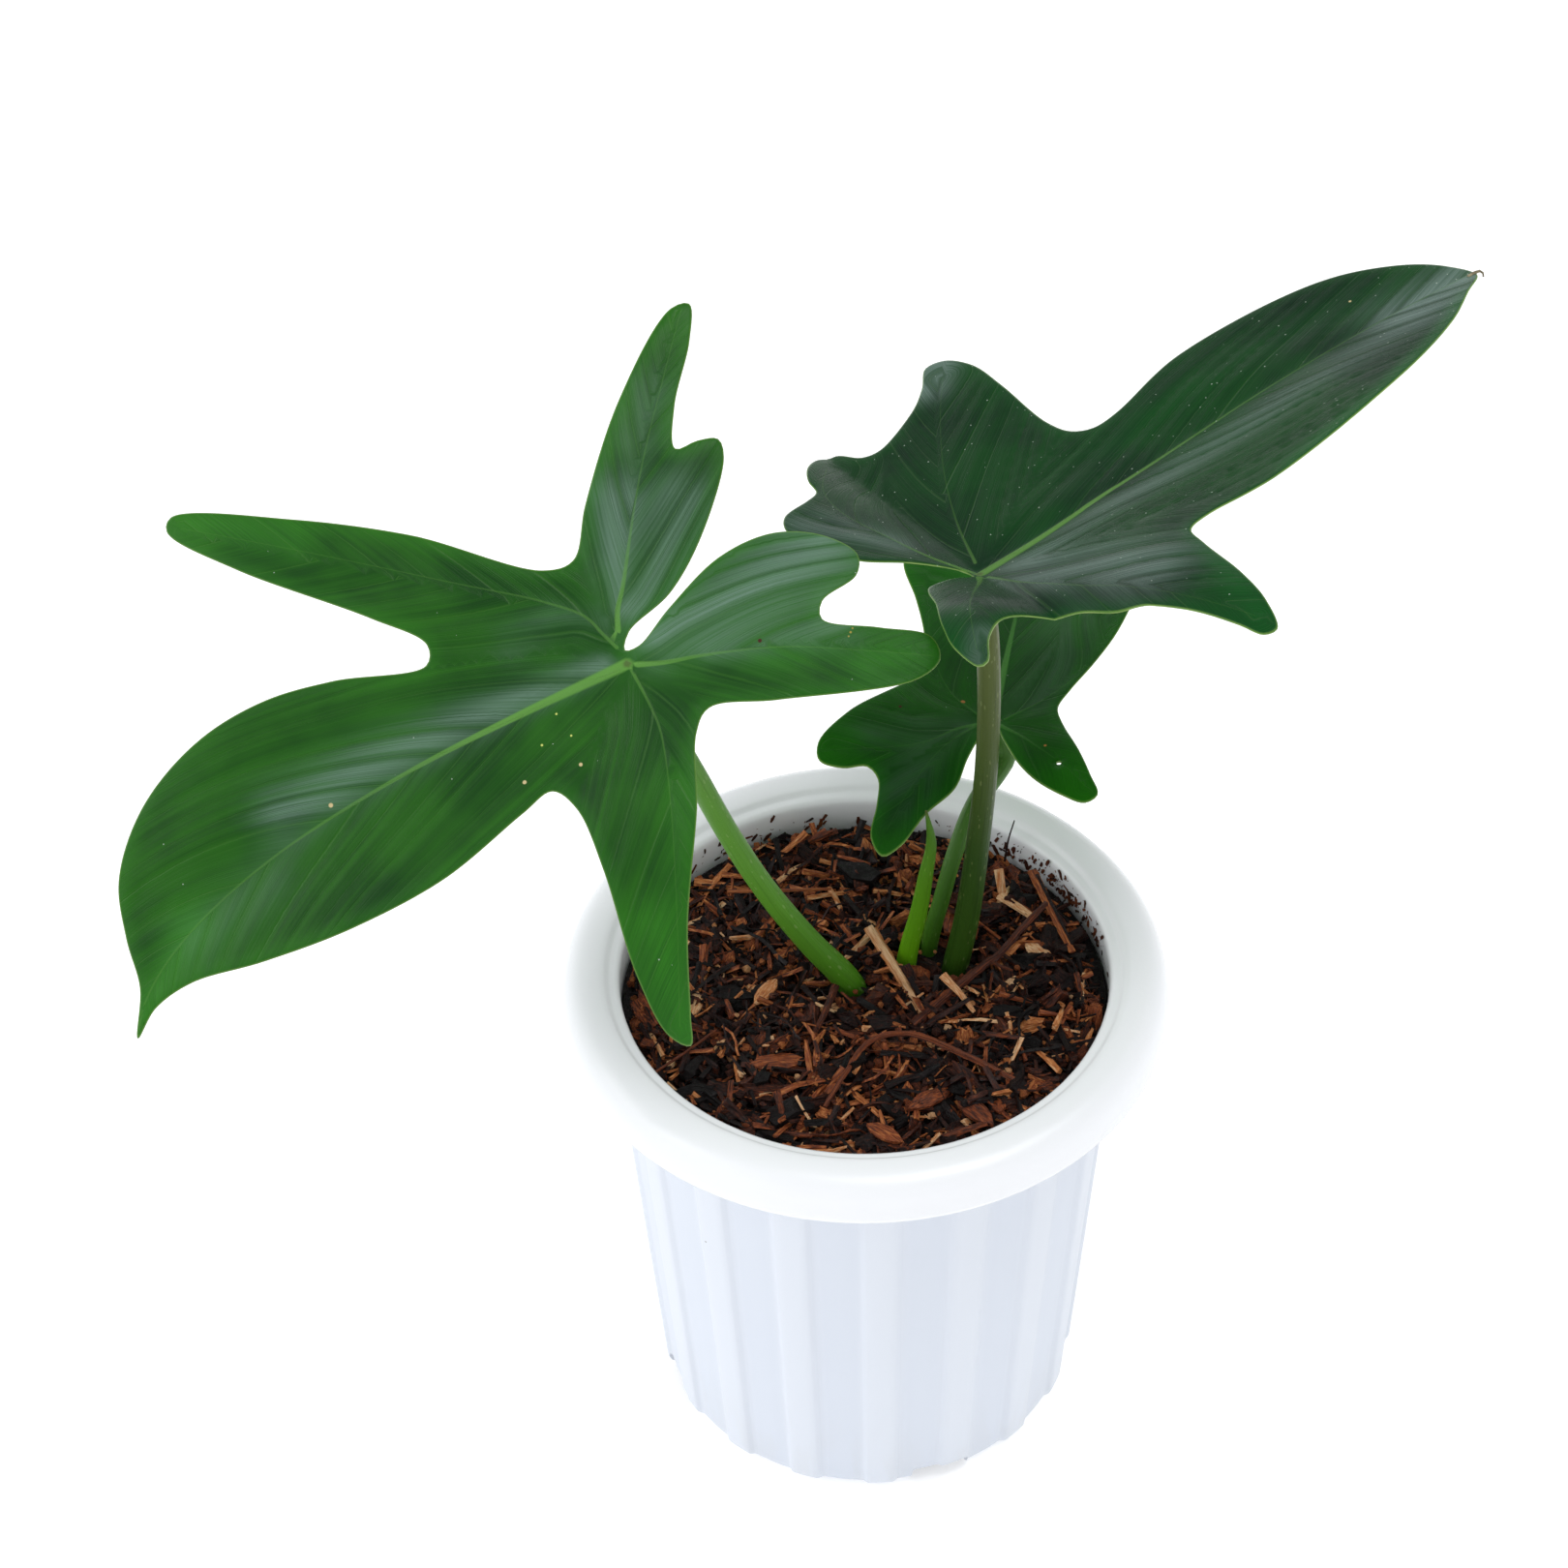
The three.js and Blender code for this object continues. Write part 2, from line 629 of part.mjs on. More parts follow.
for (const stalk of stalks) {
  let body = stalkBar(stalk, 0).subtract(stemPocket);
  if (stalk.blade !== undefined) body = body.subtract(bladeClearance(leaves[stalk.blade]));
  addNode(stalk.name, mainBody(body), stalk.colour, 0.5);
}

export default group;
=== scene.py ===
# %% [markdown]
# A young philodendron with three lobed leaves stands in a fluted white plastic pot.
# The CAD model gives every piece its place and size, and this script gives each one its looks.
# It loads the model first, so that each new piece can be laid over the solid that it stands for.

# %% Load the frame
import math
import random

import bmesh
import bpy
import numpy as np
from mathutils import Matrix, Vector
from mathutils.geometry import delaunay_2d_cdt


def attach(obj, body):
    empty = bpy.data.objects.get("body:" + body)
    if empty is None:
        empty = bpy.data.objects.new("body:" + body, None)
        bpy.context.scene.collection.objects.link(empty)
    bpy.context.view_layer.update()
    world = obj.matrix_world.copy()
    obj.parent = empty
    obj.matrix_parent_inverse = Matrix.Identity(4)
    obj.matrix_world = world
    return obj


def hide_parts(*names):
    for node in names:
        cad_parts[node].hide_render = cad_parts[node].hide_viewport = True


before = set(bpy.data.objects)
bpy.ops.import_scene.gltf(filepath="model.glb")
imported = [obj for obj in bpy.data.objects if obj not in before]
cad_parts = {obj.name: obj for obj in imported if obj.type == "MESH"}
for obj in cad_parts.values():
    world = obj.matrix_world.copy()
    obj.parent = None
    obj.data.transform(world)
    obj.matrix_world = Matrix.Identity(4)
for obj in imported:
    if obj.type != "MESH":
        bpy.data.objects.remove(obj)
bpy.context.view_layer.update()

MM = 0.001


def add_object(name, data):
    made = bpy.data.objects.new(name, data)
    bpy.context.collection.objects.link(made)
    return made


def mesh_from(bm, name):
    mesh = bpy.data.meshes.new(name)
    bm.to_mesh(mesh)
    bm.free()
    return mesh


def axes_matrix(x_axis, y_axis, z_axis):
    return Matrix((x_axis, y_axis, z_axis)).transposed().to_4x4()


print("nodes in the frame:", sorted(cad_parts))

# %% [markdown]
# The photograph was taken from in front and above, with a long lens, so little grows or shrinks with depth.
# A camera can be aimed by hand, or worked out from the pot's rim and base, whose sizes are known.
# The second way is used here: the target, the distance, the pitch and a slight roll are named values.

# %% Camera
camera_target = Vector((-0.0162, 0.0, 0.173))
camera_distance = 1.0
camera_pitch = math.radians(43.5)
camera_roll = math.radians(-1.3)

ahead = Vector((0, math.cos(camera_pitch), -math.sin(camera_pitch)))
level_up = Vector((0, math.sin(camera_pitch), math.cos(camera_pitch)))
level_right = Vector((1, 0, 0))
right = level_right * math.cos(camera_roll) + level_up * math.sin(camera_roll)
up = level_up * math.cos(camera_roll) - level_right * math.sin(camera_roll)

lens = bpy.data.cameras.new("camera")
lens.lens = 112.02
lens.sensor_width = 36
lens.clip_start = 0.05
camera = add_object("camera", lens)
camera_place = Matrix.Translation(camera_target - ahead * camera_distance)
camera.matrix_world = camera_place @ axes_matrix(right, up, -ahead)
bpy.context.scene.camera = camera
print("camera at", [round(c, 4) for c in camera.matrix_world.translation])

# %% [markdown]
# Materials are made of nodes, and the same few kinds of node come back in each of them.
# Short helpers that add one node and join its inputs keep the recipes readable.
# A helper works in the tree that was opened last, and gives back an output that can be added
# and multiplied like a number, so that one recipe line feeds the next.

# %% Node helpers


class Bench:
    """holds the node tree that was opened last"""
    tree = None


class Output:
    """a node's output, which can be used in a sum like a number"""

    def __init__(self, socket):
        self.socket = socket

    def __add__(self, other):
        return calculate("ADD", self, other)

    def __sub__(self, other):
        return calculate("SUBTRACT", self, other)

    def __mul__(self, other):
        return calculate("MULTIPLY", self, other)


def join(socket, value):
    if isinstance(value, Output):
        Bench.tree.links.new(value.socket, socket)
    elif socket.type == "RGBA":
        socket.default_value = (*value, 1)
    else:
        socket.default_value = value


def add_node(kind, inputs, output=0, **settings):
    """adds a node and gives back one of its outputs, or all of them where output is None"""
    made = Bench.tree.nodes.new(kind)
    for name, setting in settings.items():
        setattr(made, name, setting)
    for name, value in inputs.items():
        join(made.inputs[name], value)
    if output is None:
        return [Output(socket) for socket in made.outputs]
    return Output(made.outputs[output])


def calculate(operation, *values):
    return add_node("ShaderNodeMath", dict(enumerate(values)), operation=operation)


def off_whole(value):
    """how far a number lies from the nearest whole one"""
    return calculate("ABSOLUTE", value - calculate("ROUND", value))


def rise(value, low, high, out_low=0.0, out_high=1.0):
    """goes smoothly from out_low to out_high while the value goes from low to high"""
    inputs = {"Value": value, "From Min": low, "From Max": high, "To Min": out_low, "To Max": out_high}
    return add_node("ShaderNodeMapRange", inputs, "Result", interpolation_type="SMOOTHSTEP")


def blend(factor, first, second):
    return add_node("ShaderNodeMix", {0: factor, 6: first, 7: second}, 2, data_type="RGBA")


def shaded(colour, share):
    return tuple(c * share for c in colour)


def stretch(vector, scale):
    return add_node("ShaderNodeVectorMath", {0: vector, 1: scale}, operation="MULTIPLY")


def parts_of(vector):
    return add_node("ShaderNodeSeparateXYZ", {"Vector": vector}, None)


def noise(vector, scale, detail=3.0, roughness=0.6):
    inputs = {"Vector": vector, "Scale": scale, "Detail": detail, "Roughness": roughness}
    return add_node("ShaderNodeTexNoise", inputs, "Fac")


def attribute(name, output="Fac"):
    return add_node("ShaderNodeAttribute", {}, output, attribute_name=name)


def object_coordinates():
    return add_node("ShaderNodeTexCoord", {}, "Object")


def bump(height, distance, strength):
    inputs = {"Height": height, "Distance": distance, "Strength": strength}
    return add_node("ShaderNodeBump", inputs, "Normal")


def colour_steps(factor, steps):
    """a ramp from colour to colour, each at its place between 0 and 1"""
    made = Bench.tree.nodes.new("ShaderNodeValToRGB")
    join(made.inputs["Fac"], factor)
    ramp = made.color_ramp
    while len(ramp.elements) < len(steps):
        ramp.elements.new(0.5)
    for element, (place, colour) in zip(ramp.elements, steps):
        element.position = place
        element.color = (*colour, 1)
    return Output(made.outputs["Color"])


def new_material(name):
    material = bpy.data.materials.new(name)
    material.use_nodes = True
    Bench.tree = material.node_tree
    return material


def dress(colour, roughness, normal=None, shine=0.5, glow=0.0):
    """gives the material that was opened last its colour, roughness, relief, shine and glow"""
    surface = Bench.tree.nodes["Principled BSDF"].inputs
    join(surface["Base Color"], colour)
    join(surface["Roughness"], roughness)
    join(surface["Specular IOR Level"], shine)
    if normal:
        join(surface["Normal"], normal)
    if glow:
        join(surface["Emission Color"], (1, 1, 1))
        join(surface["Emission Strength"], glow)


print("node helpers ready")

# %% [markdown]
# The light is that of a bright white studio: a soft box above, a panel on either side, and pale walls.
# The walls could be built, but a plain world that is brightest at its horizon does the same.
# The leaves show grey sheen where they mirror a lamp or the horizon, and stay deep green elsewhere,
# so the sky between the two is kept darker. The world's left side is the brightest, then its right side.

# %% Light and floor
scene = bpy.context.scene
scene.view_settings.view_transform = "Standard"
scene.view_settings.look = "None"

world = bpy.data.worlds.new("white studio")
world.use_nodes = True
Bench.tree = world.node_tree
to_right, to_back, upward = parts_of(add_node("ShaderNodeTexCoord", {}, "Generated"))
horizon = rise(upward, 0.10, 0.32, 0.87, 0.60)
right_wall = rise(to_right, 0.30, 0.70, 0.0, 0.25)
left_wall = rise(to_right, -0.75, -0.35, 0.70, 0.0)
backdrop = world.node_tree.nodes["Background"]
join(backdrop.inputs["Color"], (0.97, 0.985, 1.0))
join(backdrop.inputs["Strength"], horizon + right_wall + left_wall)
scene.world = world

# name, place, aim, width and depth in metres, power in watts
lamps = [("soft box above", (0.15, -0.16, 1.31), (-0.02, 0.0, 0.2), 0.6, 0.55, 2.5),
         ("panel on the left", (-1.3, -0.1, 1.15), (0.0, 0.0, 0.1), 1.2, 0.9, 5.0),
         ("panel high on the right", (0.6, -0.1, 1.75), (0.0, 0.0, 0.1), 0.9, 0.8, 5.8)]
for name, place, aim, width, depth, power in lamps:
    lamp = bpy.data.lights.new(name, "AREA")
    lamp.shape = "RECTANGLE"
    lamp.size = width
    lamp.size_y = depth
    lamp.energy = power
    turned = (Vector(aim) - Vector(place)).to_track_quat("-Z", "Y").to_matrix().to_4x4()
    add_object(name, lamp).matrix_world = Matrix.Translation(place) @ turned

bm = bmesh.new()
bmesh.ops.create_grid(bm, x_segments=1, y_segments=1, size=3.0)
floor = add_object("floor", mesh_from(bm, "floor"))

# %% [markdown]
# Dust, mottling and fine grain show on the pot, the leaves, the stalks and the bark alike.
# Each could be built again in every material, but a node group with named sockets is built once.
# The groups give out masks and heights only, and every material puts in its own scale and amount.

# %% Shared effects


def new_group(name, output, **numbers):
    """opens a group that takes coordinates and some numbers, and gives out one number"""
    group = bpy.data.node_groups.new(name, "ShaderNodeTree")
    group.interface.new_socket("Coordinates", in_out="INPUT", socket_type="NodeSocketVector")
    for label, value in numbers.items():
        socket = group.interface.new_socket(label, in_out="INPUT", socket_type="NodeSocketFloat")
        socket.default_value = value
    group.interface.new_socket(output, in_out="OUTPUT", socket_type="NodeSocketFloat")
    Bench.tree = group
    entry = group.nodes.new("NodeGroupInput")
    given = [Output(socket) for socket in entry.outputs if socket.name]
    return group, group.nodes.new("NodeGroupOutput").inputs[0], *given


def use_group(group, place, **numbers):
    return add_node("ShaderNodeGroup", {"Coordinates": place, **numbers}, node_tree=group)


specks_group, result, place, scale, share, size = new_group("dust specks", "Mask",
                                                            Scale=300.0, Share=0.1, Size=0.15)
distance, cell_colour = add_node("ShaderNodeTexVoronoi", {"Vector": place, "Scale": scale}, None)[:2]
first_draw, second_draw, third_draw = add_node("ShaderNodeSeparateColor", {0: cell_colour}, None)
chosen = calculate("LESS_THAN", first_draw, share)
join(result, chosen * calculate("LESS_THAN", distance, second_draw * size))

mottle_group, result, place, scale, contrast = new_group("soft mottling", "Value", Scale=40.0, Contrast=0.3)
middle = 0.5
low = contrast * -0.5 + middle
high = contrast * 0.5 + middle
join(result, rise(noise(place, scale, 3.0, 0.5), low, high))

grain_group, result, place, scale, amount = new_group("fine grain", "Height", Scale=600.0, Amount=0.5)
join(result, noise(place, scale) * amount)
print("shared effects:", [g.name for g in bpy.data.node_groups])

# %% [markdown]
# The floor is a plain pale sheet that only takes the pot's shadow, and a faint glow keeps it near white.
# It is staging, so it isn't attached to the part.

# %% Floor finish
floor_finish = new_material("pale floor")
floor_tone = use_group(mottle_group, object_coordinates(), Scale=3.0, Contrast=0.9)
dress(blend(floor_tone, (0.79, 0.79, 0.79), (0.81, 0.81, 0.81)), 0.85, shine=0.1, glow=0.41)
floor.data.materials.append(floor_finish)
print("floor finish:", floor_finish.name)

# %% [markdown]
# Every finished piece needs the same last steps: a mesh, an object, smooth faces and its place in the part.
# One helper does them, so that no piece is left without a body, a material slot or a stand-in.
# Outlines, ribs, sticks and stalks all follow smooth lines through a few known points.

# %% Piece helpers


def finish_piece(bm, name, materials, replaced=(), smooth=True):
    for face in bm.faces:
        face.smooth = smooth
    mesh = mesh_from(bm, name)
    for material in materials:
        mesh.materials.append(material)
    piece = add_object(name, mesh)
    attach(piece, "root")
    if replaced:
        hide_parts(*replaced)
    mesh.calc_loop_triangles()
    print(name, "has", len(mesh.loop_triangles), "triangles")
    return piece


def spun(section, steps):
    """a closed skin from half a section, turned once round the Z axis"""
    bm = bmesh.new()
    line = [bm.verts.new((r * MM, 0, z * MM)) for r, z in section]
    edges = [bm.edges.new(pair) for pair in zip(line, line[1:])]
    bmesh.ops.spin(bm, geom=line + edges, cent=(0, 0, 0), axis=(0, 0, 1), angle=math.tau,
                   steps=steps, use_merge=True, use_duplicate=False)
    bmesh.ops.remove_doubles(bm, verts=bm.verts[:], dist=1e-6)
    bmesh.ops.recalc_face_normals(bm, faces=bm.faces[:])
    return bm


def weigh(a, b, start, end, t):
    """the point that lies between a and b as t lies between start and end"""
    return a * ((end - t) / (end - start)) + b * ((t - start) / (end - start))


def curve_piece(four, step):
    """the smooth line between the middle two of four points"""
    knots = [0.0]
    for a, b in zip(four, four[1:]):
        knots.append(knots[-1] + max(math.sqrt((b - a).length), 1e-6))
    pieces = max(1, round((four[2] - four[1]).length / step))
    line = []
    for k in range(pieces):
        t = knots[1] + (knots[2] - knots[1]) * k / pieces
        first = [weigh(four[i], four[i + 1], knots[i], knots[i + 1], t) for i in range(3)]
        second = [weigh(first[i], first[i + 1], knots[i], knots[i + 2], t) for i in range(2)]
        line.append(weigh(second[0], second[1], knots[1], knots[2], t))
    return line


def closed_curve(points, step):
    """a smooth closed line through all the points, in pieces of about one step"""
    points = [Vector(p) for p in points]
    ends = points[-1:] + points + points[:2]
    return [p for i in range(len(points)) for p in curve_piece(ends[i:i + 4], step)]


def open_curve(points, step):
    """a smooth open line through all the points"""
    points = [Vector(p) for p in points]
    ends = [points[0] * 2 - points[1]] + points + [points[-1] * 2 - points[-2]]
    line = [p for i in range(len(points) - 1) for p in curve_piece(ends[i:i + 4], step)]
    return line + [points[-1]]


print("piece helpers ready")

# %% [markdown]
# The pot is one thin moulding of white plastic: a fluted wall, a wide rolled rim and a flat foot.
# It could be turned and then cut with seventeen grooves, but the flutes are raised, with soft flanks.
# So half of its section is spun once round, and the points of the outer wall are pushed out on each flute.
# The spin's steps are gathered at the flanks, which keeps them crisp without thousands of extra faces.

# %% Pot section
foot_radius = 42.5
foot_round = 3.5
floor_thickness = 2.5
wall = 1.5
neck_height = 108.0
neck_radius = 53.6
edge_radius = foot_radius - 0.6


def wall_radius(z):
    """the outer wall's radius between the flutes, at height z"""
    if z < foot_round:
        return edge_radius + math.sqrt(foot_round ** 2 - (foot_round - z) ** 2)
    straight = edge_radius + foot_round
    return straight + (neck_radius - straight) * (z - foot_round) / (neck_height - foot_round)


wall_heights = (0.25, 0.8, 1.6, 2.5, 3.5, 5.0, 7.0, 9.0, 12.0, 20, 30, 40, 50, 60, 70, 80, 88, 94, 98, 101,
                103, 105, 106.5, 107.6)
outer = [(0.0, 0.0), (20.0, 0.0), (edge_radius, 0.0)] + [(wall_radius(z), z) for z in wall_heights]
rolled_rim = [(53.7, 108.3), (54.0, 110.5), (54.6, 113.6), (55.6, 116.0), (57.2, 117.2), (59.0, 117.3),
              (60.8, 116.3), (62.0, 114.4), (62.7, 112.0), (63.1, 110.2), (63.6, 109.75), (64.3, 109.75),
              (64.8, 110.3), (65.0, 111.4), (64.95, 113.2), (64.6, 115.1), (64.0, 116.8), (63.0, 118.2),
              (61.7, 119.15), (60.2, 119.75), (58.4, 120.0), (56.8, 119.95), (55.7, 119.7), (55.1, 119.3),
              (54.7, 118.8), (54.1, 118.5), (53.3, 118.35), (52.6, 117.95), (52.2, 117.2), (52.1, 116.2)]
foot_inside = foot_radius - wall + 0.8
inner = [(52.1, z) for z in (114.0, 111.0, 108.2, 107.2)]
inner += [(wall_radius(z) - wall, z) for z in (106.0, 100, 90, 80, 60, 40, 20)]
inner += [(foot_inside + 0.5, 8.0), (foot_inside, 5.4), (foot_inside - 1.0, 3.3),
          (foot_inside - 3.0, floor_thickness), (20.0, floor_thickness), (0.0, floor_thickness)]
print("pot section:", len(outer + rolled_rim + inner), "points")

# %% [markdown]
# The spin leaves evenly spaced points, sixteen for each flute.
# Each point is then turned to its own place on the flute, and pushed out as far as the flute rises there.
# The flutes fade out under the rim and at the foot.

# %% Spin the pot
flute_count = 17
flute_rise = 0.9
flute_half_width = 3.4
flute_flank = 1.8
first_flute = -87.8
flute_angle = 360.0 / flute_count
step_places = [-10.59, -8.6, -6.9, -5.9, -5.2, -4.65, -4.05, -3.4,
               -1.7, 0.0, 1.7, 3.4, 4.05, 4.65, 5.2, 6.6]
pot_steps = flute_count * len(step_places)


def held(value):
    """the value, held between 0 and 1"""
    return min(max(value, 0.0), 1.0)


def flute_profile(degrees_off):
    """1 on the flute's flat top, 0 on the wall between, with a soft flank"""
    t = held((flute_half_width + flute_flank - abs(degrees_off)) / flute_flank)
    return t * t * (3 - 2 * t)


bm = spun(outer + rolled_rim + inner, pot_steps)
for vert in bm.verts:
    radius = math.hypot(vert.co.x, vert.co.y) / MM
    if radius < 1:
        continue
    turn_steps = round(math.degrees(math.atan2(vert.co.y, vert.co.x)) / (360.0 / pot_steps))
    flute, step = divmod(turn_steps, len(step_places))
    off = step_places[step]
    angle = math.radians(first_flute + flute * flute_angle + off)
    z = vert.co.z / MM
    if z < neck_height and radius > wall_radius(max(z, 0)) - 0.5:
        top_fade = held((neck_height - z) / 5.0)
        foot_fade = held((z + 0.4) / 1.6)
        radius += flute_rise * flute_profile(off) * min(top_fade, foot_fade)
    vert.co.x = radius * math.cos(angle) * MM
    vert.co.y = radius * math.sin(angle) * MM
print("spun pot:", len(bm.faces), "faces")

# %% [markdown]
# Water leaves the pot through four low notches in the foot's edge.
# They could be modelled in the spin, but a cut keeps their edges clean, so four blocks are cut away.
# The boolean is applied at once, which leaves one closed shell that needs no modifier.

# %% Drain notches
notch_count = 4
notch_width = 13.0
notch_height = 4.5
notch_depth = 7.0
first_notch = -70.5
block_length = 24.0

pot_blank = add_object("pot blank", mesh_from(bm, "pot blank"))
bm = bmesh.new()
for n in range(notch_count):
    made = bmesh.ops.create_cube(bm, size=1.0)
    block_middle = foot_radius - notch_depth + block_length / 2
    place = (Matrix.Rotation(math.radians(first_notch + 360.0 / notch_count * n), 4, "Z")
             @ Matrix.Translation((block_middle * MM, 0, 0))
             @ Matrix.Diagonal((block_length * MM, notch_width * MM, notch_height * 2 * MM, 1)))
    bmesh.ops.transform(bm, matrix=place, verts=made["verts"])
bmesh.ops.bevel(bm, geom=bm.edges[:], offset=0.9 * MM, segments=2, profile=0.5, affect="EDGES", material=-1)
cutter = add_object("notch cutter", mesh_from(bm, "notch cutter"))

cut = pot_blank.modifiers.new("notches", "BOOLEAN")
cut.operation = "DIFFERENCE"
cut.solver = "EXACT"
cut.object = cutter
bpy.context.view_layer.update()
shape = bpy.data.meshes.new_from_object(pot_blank.evaluated_get(bpy.context.evaluated_depsgraph_get()))
bm = bmesh.new()
bm.from_mesh(shape)
bpy.data.objects.remove(cutter)
bpy.data.objects.remove(pot_blank)
print("pot with notches:", len(bm.faces), "faces")

# %% [markdown]
# The plastic is a satin bluish white, and its rolled rim is a little glossier than the wall.
# The wall below the rim is painted a darker, bluer white, as painted shade, and its flute tops are painted
# lighter, as painted highlight.
# Real pots also show a faint mould texture, a few dark specks of dust and light scuffs near the foot.
# All of it is drawn from the object's own coordinates, so that it stays put on the pot from every side.

# %% Pot finish
pot_finish = new_material("satin white plastic")
place = object_coordinates()
to_right, to_back, height = parts_of(place)
shade = use_group(mottle_group, place, Scale=22.0, Contrast=0.8)
flutes_past = calculate("ARCTAN2", to_back, to_right) * (flute_count / math.tau) - first_flute / flute_angle
# painted highlight: the flute tops are painted a lighter white than the wall between them
flute_highlight = rise(off_whole(flutes_past), 0.36, 0.10)
painted_shade_wall_white = blend(flute_highlight, (0.64, 0.68, 0.762), (0.685, 0.72, 0.79))
painted_shade_wall_white = blend(shade * 0.25, painted_shade_wall_white, (0.685, 0.725, 0.79))
# painted shade: the wall below the rim is painted darker and bluer than the rim
white = blend(rise(height, 0.106, 0.1095), painted_shade_wall_white, (0.845, 0.855, 0.882))
scuffed = use_group(mottle_group, stretch(place, (1, 1, 0.25)), Scale=160.0, Contrast=0.15)
white = blend(scuffed * rise(height, 0.004, 0.03, 0.10, 0.0), white, (0.55, 0.54, 0.50))
specks = use_group(specks_group, place, Scale=170.0, Share=0.05, Size=0.09)
white = blend(specks * 0.7, white, (0.13, 0.10, 0.08))
rim_gloss = rise(height, 0.104, 0.110, 0.42, 0.24)
mould = use_group(grain_group, stretch(place, (1, 1, 0.5)), Scale=900.0, Amount=1.0)
dress(white, rim_gloss + shade * 0.03, bump(mould, 0.00006, 0.5))
pot = finish_piece(bm, "fluted_pot", [pot_finish], ["pot"])
crisp = pot.modifiers.new("crisp corners", "EDGE_SPLIT")
crisp.split_angle = math.radians(50)

# %% [markdown]
# The pot is filled with a damp mix of bark, husk and a little charcoal.
# One displaced surface would read as soil, so the mix has a dark body below and loose pieces on top of it.
# The body is nearly black, which paints the shade in the gaps between the loose pieces.
# The body is spun from a short section, and its top is moved up and down on two slow waves.

# %% Body of the mix
mouth_radius = 52.1
medium_level = 111.0
medium_crown = 2.5
body_below = 2.2
body_steps = 96


def medium_surface(x, y):
    crown = medium_crown * (1 - (math.hypot(x, y) / mouth_radius) ** 2)
    waves = 0.8 * math.sin(x / 7 + 1) * math.cos(y / 9) + 0.5 * math.sin(y / 4.6 + x / 11)
    return medium_level + crown + waves


section = [(0, 4), (39, 4), (41, 6), (44.2, 20), (50.6, 100), (51.4, 106), (51.8, 109.5), (51.2, 110.4)]
section += [(r, medium_level) for r in (49, 46, 42, 38, 34, 30, 25, 20, 15, 10, 5, 0)]
bark_body = spun(section, body_steps)
for vert in bark_body.verts:
    x, y, z = (c / MM for c in vert.co)
    if z > medium_level - 0.3:
        ripples = 0.7 * math.sin(x * 1.3) * math.cos(y * 1.1)
        vert.co.z = (medium_surface(x, y) - body_below + ripples) * MM
print("body of the mix:", len(bark_body.faces), "faces")

# %% [markdown]
# Bark pieces run from nearly black to orange and tan, and each piece has one tone and a grain along it.
# The tone could be a material for each colour, but a number kept on every piece picks it from one ramp.
# The grain follows each piece's own length, so the piece's own coordinates are kept on it too.

# %% Bark finish
bark_finish = new_material("damp bark")
streaks = noise(stretch(attribute("Grain", "Vector"), (4.0, 26.0, 26.0)), 1.0)
patches = noise(object_coordinates(), 420.0, 2.0, 0.5)
mixed = attribute("Tone") + streaks * 0.85 - 0.45 + patches * 0.16 - 0.08
bark_colours = colour_steps(mixed, [
    (0.0, (0.002, 0.0012, 0.0012)), (0.22, (0.008, 0.003, 0.003)), (0.42, (0.050, 0.013, 0.007)),
    (0.6, (0.21, 0.048, 0.014)), (0.8, (0.50, 0.18, 0.055)), (1.0, (0.72, 0.46, 0.26))])
damp = rise(patches, 0.42, 0.62, 0.38, 0.72)
fibres = use_group(grain_group, object_coordinates(), Scale=900.0, Amount=0.7)
dress(bark_colours, damp, bump(streaks + fibres, 0.0006, 0.8), shine=0.22)


def add_bark_layers(bm):
    """the two things that the bark finish reads on every point"""
    return bm.verts.layers.float.new("Tone"), bm.verts.layers.float_vector.new("Grain")


body_tone, body_grain = add_bark_layers(bark_body)
draw = random.Random(41)
# painted shade: the body's tones are drawn nearly black, for the gaps between the loose pieces
for vert in bark_body.verts:
    vert[body_tone] = draw.uniform(0.02, 0.2)
    vert[body_grain] = vert.co * 60
finish_piece(bark_body, "bark_mix_body", [bark_finish], ["growing_medium"])

# %% [markdown]
# The loose pieces are of five kinds: split chunks, pointed husks, slivers, crumbs and fibres.
# Modelling several thousand of them one by one would never end, so each kind has a few patterns.
# A pattern is made once with bmesh operators from a cube, a grid, a cone or a ball, a few dozen faces each.
# It is about one unit long, and lies along X.

# %% Patterns of the loose pieces


def jitter(bm, draw, amount):
    for vert in bm.verts:
        vert.co += Vector([draw.uniform(-amount, amount) for _ in range(3)])


def add_rod(bm, sides, first, last, cuts):
    """a closed cone along X with a first and a last radius, cut across into even rings"""
    bmesh.ops.create_cone(bm, cap_ends=True, segments=sides, radius1=first, radius2=last, depth=1.0)
    laid_down = Matrix.Rotation(math.radians(90), 3, "Y")
    bmesh.ops.rotate(bm, cent=(0, 0, 0), matrix=laid_down, verts=bm.verts[:])
    lengthwise = [e for e in bm.edges if abs(e.verts[0].co.x - e.verts[1].co.x) > 0.5]
    bmesh.ops.subdivide_edges(bm, edges=lengthwise, cuts=cuts)


def shape_chunk(bm, draw):
    bmesh.ops.create_cube(bm, size=1.0)
    bmesh.ops.subdivide_edges(bm, edges=bm.edges[:], cuts=1, use_grid_fill=True)
    for vert in bm.verts:
        pull = 0.82 if abs(vert.co.x) > 0.4 else 1.0
        vert.co.y *= draw.uniform(0.38, 0.6) * pull
        vert.co.z *= draw.uniform(0.25, 0.4) * pull
    jitter(bm, draw, 0.09)


